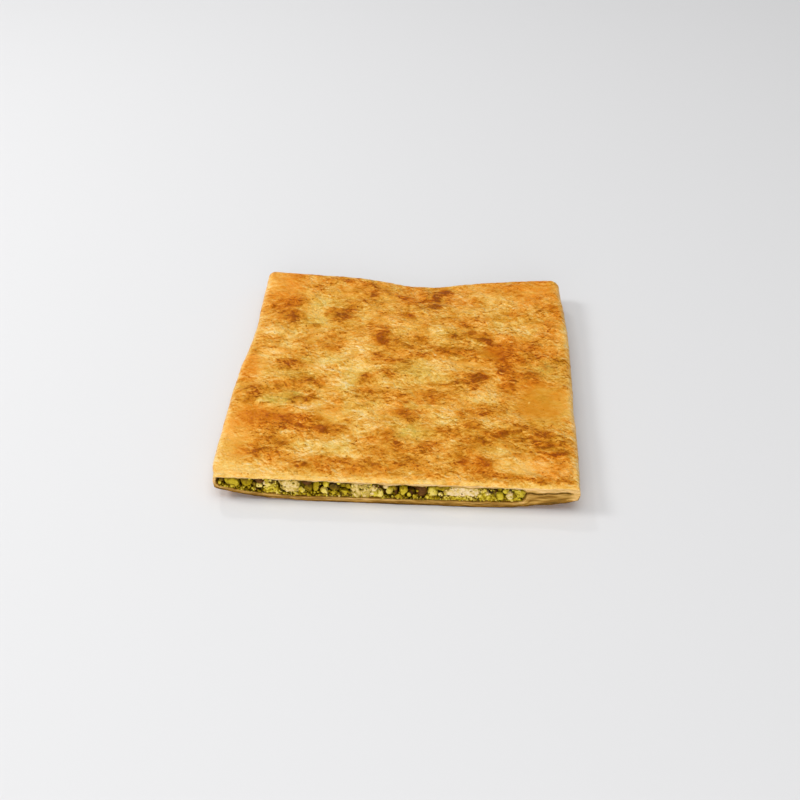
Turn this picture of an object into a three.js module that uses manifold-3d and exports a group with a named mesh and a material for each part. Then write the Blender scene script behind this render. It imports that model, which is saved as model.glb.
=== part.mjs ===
// Katmer: a thin dough sheet folded into a square packet round chopped pistachio and clotted cream,
// baked flat, with one side cut open. The dough is one envelope, closed at its left, right and back
// folds. The filling and three bands of cream run from the cut towards the back fold.
// Millimetres, +Z up. The cut side faces -Y, and the origin is on the table under the middle.

import * as THREE from "three";
import { mergeVertices } from "three/addons/utils/BufferGeometryUtils.js";
import Module from "manifold-3d";

// The packet as a whole
const WIDTH = 177; // between the left and right folds, at their widest
const DEPTH = 185.5; // from the cut to the back fold
const HEIGHT = 13.6; // from the table to the top sheet
const RIM_RADIUS = 3.8; // of the rounded fold, seen from the end
const EDGE_LIFT = 6.5; // how far the left and right folds curve up off the table
const BACK_LIFT = 3.2; // how far the back fold curves up off the table
const FLAT_SHARE = 0.3; // of the half width and half depth that rests flat on the table
const LEFT_STEP = 2.8; // how far the left fold steps in towards the back
const LEFT_NECK = 1.2; // how much further it is drawn in just behind that step
const LEFT_FRONT_INSET = 1.7; // how far the left fold is drawn in at the cut
const RIGHT_BACK_INSET = 3.3; // how far the right fold is drawn in at the back
const RIGHT_FRONT_INSET = 0.5; // and at the cut
const RIGHT_WAIST = 0.4; // how far its middle is drawn in
const BACK_DIP = 5.4; // how far the middle of the back fold is drawn in
const BACK_RIGHT_INSET = 2.8; // how far its right end stays behind its left end
const BACK_SAG = 3; // how far the top sheet sinks there
const CORNER_RISE = 1.6; // how far the top sheet rises at the back corners
const SWELL = 0.35; // height of the slow swells of the top sheet
const BACK_LEFT_RADIUS = 4;
const BACK_RIGHT_RADIUS = 6;

// The dough and what it holds
const TOP_SHEET = 2.8; // thickness of the dough above the filling
const WAVER = 0.3; // how far the underside of that sheet wavers
const BOTTOM_SHEET = 2.5; // thickness of the dough below the filling
const LEFT_WALL = 3; // thickness of the dough at each fold
const BACK_WALL = 6;
const RIGHT_WALL = 7; // behind the cut
const RIGHT_WALL_AT_CUT = 25; // at the cut, where the filling stops short of the fold
const POCKET_RIM = 3; // radius of the filling's rounded edge
// The slit where the two sheets meet at the right of the cut: its height, how far it goes in, its ends
// as places across the packet, how deep it lies under the top and how far it rises to its right end
const SLIT = { height: 0.8, depth: 14, from: 0.62, to: 0.955, below: 4.6, rise: 1.2, waver: 0.25 };
const GAP = 0.3; // between one solid and the next
const OVERRUN = 2; // how far a cutter starts in front of the cut
const FILLING_RECESS = 0.9; // of the filling's face behind the cut
const CREAM_RECESS = 0.5; // of the cream's face behind the cut
const LUMP = 0.6; // relief of the filling's face, from its chopped nuts

// The bands of cream: place across the cut, width, height, place between the sheets, and drift
// sideways on the way back
const CREAM_BANDS = [
  { name: "cream_left", x: -52, width: 10, height: 5.6, level: 0.1, drift: -4 },
  { name: "cream_middle", x: -14, width: 14, height: 6, level: 0, drift: 5 },
  { name: "cream_right", x: 31, width: 17, height: 5, level: 0.25, drift: -3 },
];
const CREAM_REACH = 0.72; // share of the depth that a band runs through
const CREAM_TAPER = 0.25; // share of the band that narrows to its end

// Mesh density
const SHELL_STEPS = { across: 36, along: 28 };
const POCKET_STEPS = { across: 26, along: 12 };
const SLIT_STEPS = { across: 10, along: 2 };
const FACE_STEPS = { across: 32, along: 1 };
const FACE_ROWS = 5; // rows of facets up the filling's face
const BAND_SIDES = 12;
const BAND_STEPS = 8;

const clamp01 = (t) => Math.min(1, Math.max(0, t));
const mix = (a, b, t) => a + (b - a) * t;
const ramp = (from, to, x) => clamp01((x - from) / (to - from));
const smooth = (from, to, x) => {
  const t = ramp(from, to, x);
  return t * t * (3 - 2 * t);
};
const bump = (x, centre, reach) => Math.exp(-(((x - centre) / reach) ** 2));
// A quarter circle: 0 at an edge and 1 from one radius inwards
const quarterRound = (distance, radius) => Math.sqrt(1 - (1 - ramp(0, radius, distance)) ** 2);

// --- The outline, seen from above. u runs from -1 at the left fold to 1 at the right fold, and v
// from -1 at the cut to 1 at the back fold. ---

function cornerInset(v, radius) {
  const fromBack = ((1 - v) / 2) * DEPTH;
  return radius * (1 - quarterRound(fromBack, radius));
}

function leftX(v) {
  const step = LEFT_STEP * smooth(-0.1, 0.3, v) + LEFT_NECK * bump(v, 0.42, 0.16);
  const front = LEFT_FRONT_INSET * smooth(-0.6, -1, v);
  return -WIDTH / 2 + step + front + cornerInset(v, BACK_LEFT_RADIUS);
}

function rightX(v) {
  const back = RIGHT_BACK_INSET * smooth(0.35, 1, v) + RIGHT_WAIST * bump(v, -0.3, 0.15);
  const front = RIGHT_FRONT_INSET * smooth(-0.8, -1, v);
  return WIDTH / 2 - back - front - cornerInset(v, BACK_RIGHT_RADIUS);
}

function backY(u) {
  return DEPTH / 2 - BACK_DIP * bump(u, 0.08, 0.33) - BACK_RIGHT_INSET * smooth(0.1, 0.8, u);
}

function plan(u, v) {
  return {
    x: mix(leftX(v), rightX(v), (u + 1) / 2),
    y: mix(-DEPTH / 2, backY(u), (v + 1) / 2),
  };
}

// --- Levels of the dough's two outer faces, away from the rounded folds ---

function topLevel(u, v) {
  const sag = BACK_SAG * bump(u, 0.08, 0.36) * smooth(0.45, 1, v);
  const rise = CORNER_RISE * smooth(0.35, 1, Math.abs(u)) * smooth(0.3, 1, v);
  const swell = SWELL * (Math.sin(5.1 * u + 2 * v + 0.6) + Math.sin(4.3 * v - 2.4 * u));
  return HEIGHT - sag + rise + swell * quarterRound(1 + v, 0.4);
}

function bottomLevel(u, v) {
  const side = EDGE_LIFT * ramp(FLAT_SHARE, 1, Math.abs(u)) ** 2.6;
  const back = BACK_LIFT * ramp(FLAT_SHARE, 1, v) ** 3;
  return side + back;
}

// The top and bottom faces meet in a round rim of this radius along the closed sides.
function withRim(top, bottom, edgeDistance, radius) {
  const middle = (top + bottom) / 2;
  const share = quarterRound(edgeDistance, radius);
  return { top: mix(middle, top, share), bottom: mix(middle, bottom, share) };
}

function shellPoint(u, v) {
  const { x, y } = plan(u, v);
  const edge = Math.min(x - leftX(v), rightX(v) - x, backY(u) - y);
  return { x, y, ...withRim(topLevel(u, v), bottomLevel(u, v), edge, RIM_RADIUS) };
}

// --- The pocket between the sheets. across runs from -1 to 1 and along from 0 at the cut to 1. ---

const sheetShare = (u) => 1 - 0.3 * Math.abs(u) ** 3; // the sheets thin out towards the folds
const underTopSheet = (u, v) => topLevel(u, v) - TOP_SHEET * sheetShare(u) + WAVER * Math.sin(23 * u);
const overBottomSheet = (u, v) => bottomLevel(u, v) + BOTTOM_SHEET * sheetShare(u);
const inHalves = (length, size) => (2 * length) / size; // a length as a share of u or v
const pastCut = -1 - inHalves(OVERRUN, DEPTH);

function pocketPoint(across, along, gap) {
  const v = mix(pastCut, 1 - inHalves(BACK_WALL + gap, DEPTH), along);
  const rightWall = mix(RIGHT_WALL_AT_CUT, RIGHT_WALL, smooth(-0.95, -0.3, v));
  const uLeft = -1 + inHalves(LEFT_WALL + gap, WIDTH);
  const uRight = 1 - inHalves(rightWall + gap, WIDTH);
  const u = mix(uLeft, uRight, (across + 1) / 2);
  const toSide = (Math.min(u - uLeft, uRight - u) * WIDTH) / 2;
  const toBack = ((1 - along) * DEPTH) / 2;
  const faces = withRim(
    underTopSheet(u, v) - gap,
    overBottomSheet(u, v) + gap,
    0.7 + Math.min(toSide, toBack),
    POCKET_RIM,
  );
  return { ...plan(u, v), ...faces };
}

function slitPoint(across, along) {
  const share = (across + 1) / 2;
  const u = mix(SLIT.from, SLIT.to, share);
  const v = mix(pastCut, -1 + inHalves(SLIT.depth, DEPTH), along);
  const level = HEIGHT - SLIT.below + SLIT.rise * share + SLIT.waver * Math.sin(9 * share);
  const half = (SLIT.height / 2) * (1 - 0.5 * share);
  return { ...plan(u, v), top: level + half, bottom: level - half };
}

// --- Closed meshes ---

const isFlat = ([a, b, c]) => a === b || b === c || c === a;

// A geometry from points and quads or triangles of point numbers.
function geometryOf(vertices, faces) {
  const split = ([a, b, c, d]) => (d === undefined ? [[a, b, c]] : [[a, b, c], [a, c, d]]);
  const triangles = faces.flatMap(split);
  const geometry = new THREE.BufferGeometry();
  geometry.setAttribute("position", new THREE.Float32BufferAttribute(vertices.flat(), 3));
  geometry.setIndex(triangles.filter((t) => !isFlat(t)).flat());
  return geometry;
}

// A slab between its top and bottom faces, with walls all round. The front wall has rows of its
// own and a relief, a distance towards +Y for each place on it.
function slab(pointAt, steps, rows = 1, relief = () => 0) {
  const vertices = [];
  const faces = [];
  const add = (x, y, z) => vertices.push([x, y, z]) - 1;
  const spread = (i) => Math.sin((Math.PI / 2) * ((2 * i) / steps.across - 1));
  const towardsBack = (j) => Math.sin((Math.PI / 2) * (j / steps.along)) * 0.5 + (0.5 * j) / steps.along;
  const grid = (face) =>
    Array.from({ length: steps.along + 1 }, (_, j) =>
      Array.from({ length: steps.across + 1 }, (_, i) => {
        const p = pointAt(spread(i), towardsBack(j));
        return add(p.x, p.y, p[face]);
      }),
    );
  const top = grid("top");
  const bottom = grid("bottom");
  for (let j = 0; j < steps.along; j++)
    for (let i = 0; i < steps.across; i++) {
      faces.push([top[j][i], top[j][i + 1], top[j + 1][i + 1], top[j + 1][i]]);
      faces.push([bottom[j][i], bottom[j + 1][i], bottom[j + 1][i + 1], bottom[j][i + 1]]);
    }
  for (let j = 0; j < steps.along; j++) {
    const last = steps.across;
    faces.push([bottom[j][0], top[j][0], top[j + 1][0], bottom[j + 1][0]]);
    faces.push([bottom[j][last], bottom[j + 1][last], top[j + 1][last], top[j][last]]);
  }
  for (let i = 0; i < steps.across; i++) {
    const last = steps.along;
    faces.push([bottom[last][i], top[last][i], top[last][i + 1], bottom[last][i + 1]]);
  }
  // A row inside the front wall starts and ends in the row below it, as the side walls have no rows.
  const innerRow = (level, below) =>
    below.map((corner, i) => {
      if (i === 0 || i === steps.across) return corner;
      const p = pointAt(spread(i), 0);
      return add(p.x, p.y + relief(p.x, level), mix(p.bottom, p.top, level));
    });
  let lower = bottom[0];
  for (let r = 1; r <= rows; r++) {
    const upper = r === rows ? top[0] : innerRow(r / rows, lower);
    for (let i = 0; i < steps.across; i++)
      faces.push([lower[i], lower[i + 1], upper[i + 1], upper[i]]);
    lower = upper;
  }
  return geometryOf(vertices, faces);
}

// A band of cream along the pocket: an oval section that drifts sideways and narrows to its end.
function creamBand(band, grow, frontV) {
  const vertices = [];
  const faces = [];
  const endV = -1 + 2 * CREAM_REACH + inHalves(grow, DEPTH);
  for (let j = 0; j <= BAND_STEPS; j++) {
    const v = mix(frontV, endV, j / BAND_STEPS);
    const share = (v + 1) / (endV + 1);
    const size = quarterRound(1 - share + 0.02, CREAM_TAPER);
    const x = band.x + band.drift * Math.sin(2.6 * Math.max(0, share));
    const u = (x - (leftX(v) + rightX(v)) / 2) / ((rightX(v) - leftX(v)) / 2);
    const ceiling = underTopSheet(u, v);
    const floor = overBottomSheet(u, v);
    const z = (ceiling + floor) / 2 + (band.level * (ceiling - floor - band.height)) / 2;
    for (let k = 0; k < BAND_SIDES; k++) {
      const turn = (2 * Math.PI * k) / BAND_SIDES;
      const lobe = 1 + 0.08 * Math.sin(3 * turn + 4 * share);
      vertices.push([
        x + Math.cos(turn) * ((band.width / 2) * size * lobe + grow),
        plan(u, v).y,
        z + Math.sin(turn) * ((band.height / 2) * size + grow),
      ]);
    }
  }
  const ring = (j, k) => j * BAND_SIDES + (k % BAND_SIDES);
  for (let j = 0; j < BAND_STEPS; j++)
    for (let k = 0; k < BAND_SIDES; k++)
      faces.push([ring(j, k), ring(j + 1, k), ring(j + 1, k + 1), ring(j, k + 1)]);
  for (let k = 1; k < BAND_SIDES - 1; k++) {
    faces.push([ring(0, 0), ring(0, k), ring(0, k + 1)]);
    faces.push([ring(BAND_STEPS, 0), ring(BAND_STEPS, k + 1), ring(BAND_STEPS, k)]);
  }
  return geometryOf(vertices, faces);
}

// --- Cutting, with manifold-3d ---

const wasm = await Module();
wasm.setup();

function solidOf(geometry) {
  const merged = mergeVertices(geometry, 1e-3);
  const solid = new wasm.Manifold(
    new wasm.Mesh({
      numProp: 3,
      vertProperties: merged.attributes.position.array,
      triVerts: new Uint32Array(merged.index.array),
    }),
  );
  if (solid.volume() < 0) throw new Error("a piece is inside out");
  return solid;
}

function geometryFrom(solid) {
  const { vertProperties, triVerts } = solid.getMesh();
  const geometry = new THREE.BufferGeometry();
  geometry.setAttribute("position", new THREE.BufferAttribute(vertProperties, 3));
  geometry.setIndex(new THREE.BufferAttribute(triVerts, 1));
  return geometry;
}

// --- The pieces ---

const katmer = new THREE.Group();

function addPiece(name, solid, colour, roughness) {
  const material = new THREE.MeshStandardMaterial({ color: colour, roughness, metalness: 0 });
  const mesh = new THREE.Mesh(geometryFrom(solid), material);
  mesh.name = name;
  katmer.add(mesh);
}

const alongToV = (along) => mix(-1, 1, along);

function makeEnvelope() {
  const shell = solidOf(slab((u, along) => shellPoint(u, alongToV(along)), SHELL_STEPS));
  const pocket = slab((across, along) => pocketPoint(across, along, 0), POCKET_STEPS);
  const slit = slab(slitPoint, SLIT_STEPS);
  return shell.subtract(solidOf(pocket)).subtract(solidOf(slit));
}

// Everything behind the filling's lumpy face: a wedge that is just taller than the filling at the
// cut and opens out towards the back.
function behindFace() {
  const faceY = -DEPTH / 2 + FILLING_RECESS;
  const lumps = (x, level) => LUMP * Math.sin(1.15 * x + 5 * level) * Math.sin(6.2 * level + 0.35 * x);
  const pointAt = (across, along) => ({
    x: (across * WIDTH) / 2,
    y: faceY + along * DEPTH,
    bottom: mix(BOTTOM_SHEET / 2, -HEIGHT, along),
    top: mix(HEIGHT, 3 * HEIGHT, along),
  });
  return slab(pointAt, FACE_STEPS, FACE_ROWS, lumps);
}

function makeFilling() {
  const heap = slab((across, along) => pocketPoint(across, along, GAP), POCKET_STEPS);
  return CREAM_BANDS.reduce(
    (rest, band) => rest.subtract(solidOf(creamBand(band, GAP, pastCut))),
    solidOf(heap).intersect(solidOf(behindFace())),
  );
}

addPiece("pastry", makeEnvelope(), 0xe3a24a, 0.5);
addPiece("pistachio_filling", makeFilling(), 0x9a9a28, 0.6);
for (const band of CREAM_BANDS) {
  const faceV = -1 + inHalves(CREAM_RECESS, DEPTH);
  addPiece(band.name, solidOf(creamBand(band, 0, faceV)), 0xf1ead2, 0.45);
}

export default katmer;
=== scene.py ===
import math

import bmesh
import bpy
import numpy as np
from mathutils import Matrix, Vector


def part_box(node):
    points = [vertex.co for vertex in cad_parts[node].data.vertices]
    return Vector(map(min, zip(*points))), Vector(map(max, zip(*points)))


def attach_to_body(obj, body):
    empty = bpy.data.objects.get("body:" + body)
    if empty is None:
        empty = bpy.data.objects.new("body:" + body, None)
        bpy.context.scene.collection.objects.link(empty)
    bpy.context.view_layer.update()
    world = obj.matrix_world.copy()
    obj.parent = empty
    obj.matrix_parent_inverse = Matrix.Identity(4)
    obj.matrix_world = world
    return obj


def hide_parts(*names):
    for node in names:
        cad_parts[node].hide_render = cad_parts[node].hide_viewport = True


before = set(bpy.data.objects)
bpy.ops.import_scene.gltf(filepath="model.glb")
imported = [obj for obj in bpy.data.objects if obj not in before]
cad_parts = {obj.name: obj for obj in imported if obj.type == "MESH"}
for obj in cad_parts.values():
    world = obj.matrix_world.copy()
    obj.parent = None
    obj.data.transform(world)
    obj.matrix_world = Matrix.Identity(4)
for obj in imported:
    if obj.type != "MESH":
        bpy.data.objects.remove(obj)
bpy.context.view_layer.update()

MM = 0.001
SEED = 20

# ------------------------------------------------------------
# Sizes in mm. Most are the CAD model's. The left fold, CUT_CORNER, SLIT_WALL and the sheets at
# the cut follow the real packet more closely. Places along a fold are u or v, from -1 to 1.
low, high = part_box("pastry")
WIDTH = (high.x - low.x) / MM
DEPTH = (high.y - low.y) / MM
FRONT = -DEPTH / 2  # the plane of the cut
HEIGHT = 13.6
RIM_RADIUS = 3.8  # how far in the rounding of a fold reaches
CUT_CORNER = 0.8  # how far in it reaches at the cut
EDGE_LIFT, BACK_LIFT = 6.5, 3.2  # how high the side folds and the back fold are off the floor
FLAT_SHARE = 0.3  # u, to either side, and v from which the underside rises
# How far the folds stray inwards, or, for the bulge, outwards, from a rectangle
LEFT_STEP, LEFT_NECK, LEFT_BULGE, LEFT_FRONT_INSET = 2.1, 0.6, 0.6, 2.3
RIGHT_BACK_INSET, RIGHT_FRONT_INSET, RIGHT_WAIST = 3.3, 0.5, 0.4
BACK_DIP, BACK_RIGHT_INSET = 5.4, 2.8
BACK_LEFT_RADIUS, BACK_RIGHT_RADIUS = 4.0, 6.0
# How the top strays from HEIGHT
BACK_SAG, CORNER_RISE, SWELL = 3.0, 1.6, 0.35
# Thickness of the dough above, below and round the filling
TOP_SHEET, BOTTOM_SHEET = 2.8, 2.5
TOP_SHEET_AT_LEFT, TOP_SHEET_AT_RIGHT = 0.9, 1.75  # at the cut
LEFT_WALL, BACK_WALL, RIGHT_WALL = 3.0, 6.0, 7.0
LEFT_WALL_AT_CUT, RIGHT_WALL_AT_CUT = 1.1, 25.0
# The slit at the right of the cut: how far it is below HEIGHT, how much it rises to the right,
# its height and depth, and the wall beyond it
SLIT_BELOW, SLIT_RISE, SLIT_HEIGHT, SLIT_DEPTH, SLIT_WALL = 4.6, 1.2, 0.8, 14.0, 2.8
POCKET_END = DEPTH - BACK_WALL - 2.5  # how far in from the cut the pocket ends

# How finely the dough is divided, and the rounding of its cut edge
TOP_STEP = 0.7
RIM_STEPS = 6  # facets round a rim's quarter circle, an even number
CUT_ROWS = 7  # rows of facets across a cut sheet
FRONT_ROUND, FRONT_DROP = 3.2, 0.45  # how the top sheet rounds down to the cut
FRONT_RISE = 0.35  # how much of that drop the bottom sheet rises by

# ------------------------------------------------------------
# Curves and noise, on whole arrays


def mix(a, b, t):
    return a + (b - a) * t


def ramp(start, end, x):
    return np.clip((x - start) / (end - start), 0.0, 1.0)


def smooth(start, end, x):
    t = ramp(start, end, x)
    return t * t * (3 - 2 * t)


def bump(x, centre, reach):
    """A bell curve, 1 at its centre."""
    return np.exp(-(((x - centre) / reach) ** 2))


def quarter_round(distance, radius):
    """A rounded edge: 0 at the edge, and 1 from a radius in."""
    return np.sqrt(1 - (1 - ramp(0, radius, distance)) ** 2)


def hashed(cell, seed):
    """A random whole number for each lattice cell, given as whole-number columns."""
    h = np.full(len(cell), seed * 974711 + 12345, np.uint32)
    for column, factor in zip(cell.T, (374761393, 668265263, 2246822519)):
        h = h ^ (column.astype(np.int64).astype(np.uint32) * np.uint32(factor))
        h = (h ^ (h >> np.uint32(13))) * np.uint32(1274126177)
        h = h ^ (h >> np.uint32(16))
    return h


def unit_randoms(h):
    """Three random numbers from 0 to 1 for each hash."""
    return [((h >> np.uint32(shift)) & np.uint32(1023)) / 1023.0 for shift in (0, 10, 20)]


def on_plane(x, y=0.0):
    """Places on a plane as rows of points, for noise to be taken at."""
    x, y = np.broadcast_arrays(x, y)
    return np.column_stack([x.ravel(), y.ravel(), np.zeros(x.size)])


def noise(points, size, seed):
    """Smooth gradient noise, about -1 to 1, with features of the given size in mm. The seed
    picks its pattern."""
    q = points / np.asarray(size, float)
    cell = np.floor(q)
    f = q - cell
    w = f * f * f * (f * (f * 6 - 15) + 10)
    total = np.zeros(len(q))
    for corner in np.ndindex(2, 2, 2):
        step = np.array(corner)
        gradient = unit_randoms(hashed(cell + step, seed))
        dot = sum((2 * g - 1) * (f[:, k] - step[k]) for k, g in enumerate(gradient))
        weight = np.prod(np.where(step, w, 1 - w), axis=1)
        total += weight * dot
    return 1.6 * total


def fractal(points, size, seed, octaves=3):
    """Layers of noise, each half the size and strength of the one before."""
    size = np.asarray(size, float)
    return sum(noise(points, size / 2**k, seed + k) / 2**k for k in range(octaves))


def domes(points, spacing, radius, seed, share=1.0):
    """Round bubbles scattered over a surface: 1 at a bubble's top and 0 outside it."""
    q = points[:, :2] / spacing
    level = np.floor(points[:, 2] / 8.0)
    cell = np.floor(q)
    best = np.zeros(len(q))
    for step in np.ndindex(3, 3):
        near = cell + np.array(step) - 1
        h = hashed(np.column_stack([near, level]), seed)
        a, b, c = unit_randoms(h)
        present = unit_randoms(hashed(np.column_stack([near, level]), seed + 1))[0] < share
        reach = mix(radius[0], radius[1], c) / spacing
        d2 = ((q[:, 0] - near[:, 0] - a) ** 2 + (q[:, 1] - near[:, 1] - b) ** 2) / reach**2
        best = np.maximum(best, np.where(present, np.clip(1 - d2, 0, 1) ** 1.5, 0))
    return best


def warped(points, size, amount, seed):
    """The points, pushed sideways by noise, so that round spots get ragged outlines."""
    push = np.column_stack([noise(points, size, seed + k) for k in range(2)])
    moved = points.copy()
    moved[:, :2] += amount * push
    return moved


# ------------------------------------------------------------
# The packet's form. u runs from -1 at the left fold to 1 at the right fold, and v from -1 at
# the cut to 1 at the back fold.


def corner_inset(v, radius):
    """How far in a side fold turns to round a back corner."""
    return radius * (1 - quarter_round((1 - v) / 2 * DEPTH, radius))


def left_x(v):
    """x of the left fold."""
    step = LEFT_STEP * smooth(-0.1, 0.27, v) + LEFT_NECK * bump(v, 0.42, 0.16)
    front = LEFT_FRONT_INSET * smooth(-0.85, -1, v) - LEFT_BULGE * smooth(-0.12, -0.24, v)
    return -WIDTH / 2 + step + front + corner_inset(v, BACK_LEFT_RADIUS)


def right_x(v):
    """x of the right fold."""
    back = RIGHT_BACK_INSET * smooth(0.35, 1, v) + RIGHT_WAIST * bump(v, -0.3, 0.15)
    front = RIGHT_FRONT_INSET * smooth(-0.8, -1, v)
    return WIDTH / 2 - back - front - corner_inset(v, BACK_RIGHT_RADIUS)


def back_y(u):
    """y of the back fold."""
    return DEPTH / 2 - BACK_DIP * bump(u, 0.08, 0.33) - BACK_RIGHT_INSET * smooth(0.1, 0.8, u)


def top_level(u, v):
    """Height of the top: it sags at the middle of the back fold and rises at the back corners."""
    sag = BACK_SAG * bump(u, 0.08, 0.36) * smooth(0.45, 1, v)
    rise = CORNER_RISE * smooth(0.35, 1, np.abs(u)) * smooth(0.3, 1, v)
    swell = SWELL * (np.sin(5.1 * u + 2 * v + 0.6) + np.sin(4.3 * v - 2.4 * u))
    return HEIGHT - sag + rise + swell * quarter_round(1 + v, 0.4)


def bottom_level(u, v):
    """Height of the underside, which rises towards the folds."""
    side = EDGE_LIFT * ramp(FLAT_SHARE, 1, np.abs(u)) ** 2.6
    return side + BACK_LIFT * ramp(FLAT_SHARE, 1, v) ** 3


def to_uv(x, y):
    """u and v of a place, given across and along the packet."""
    v = 2 * (y - FRONT) / DEPTH - 1
    left, right = left_x(v), right_x(v)
    return 2 * (x - left) / (right - left) - 1, v


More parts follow.
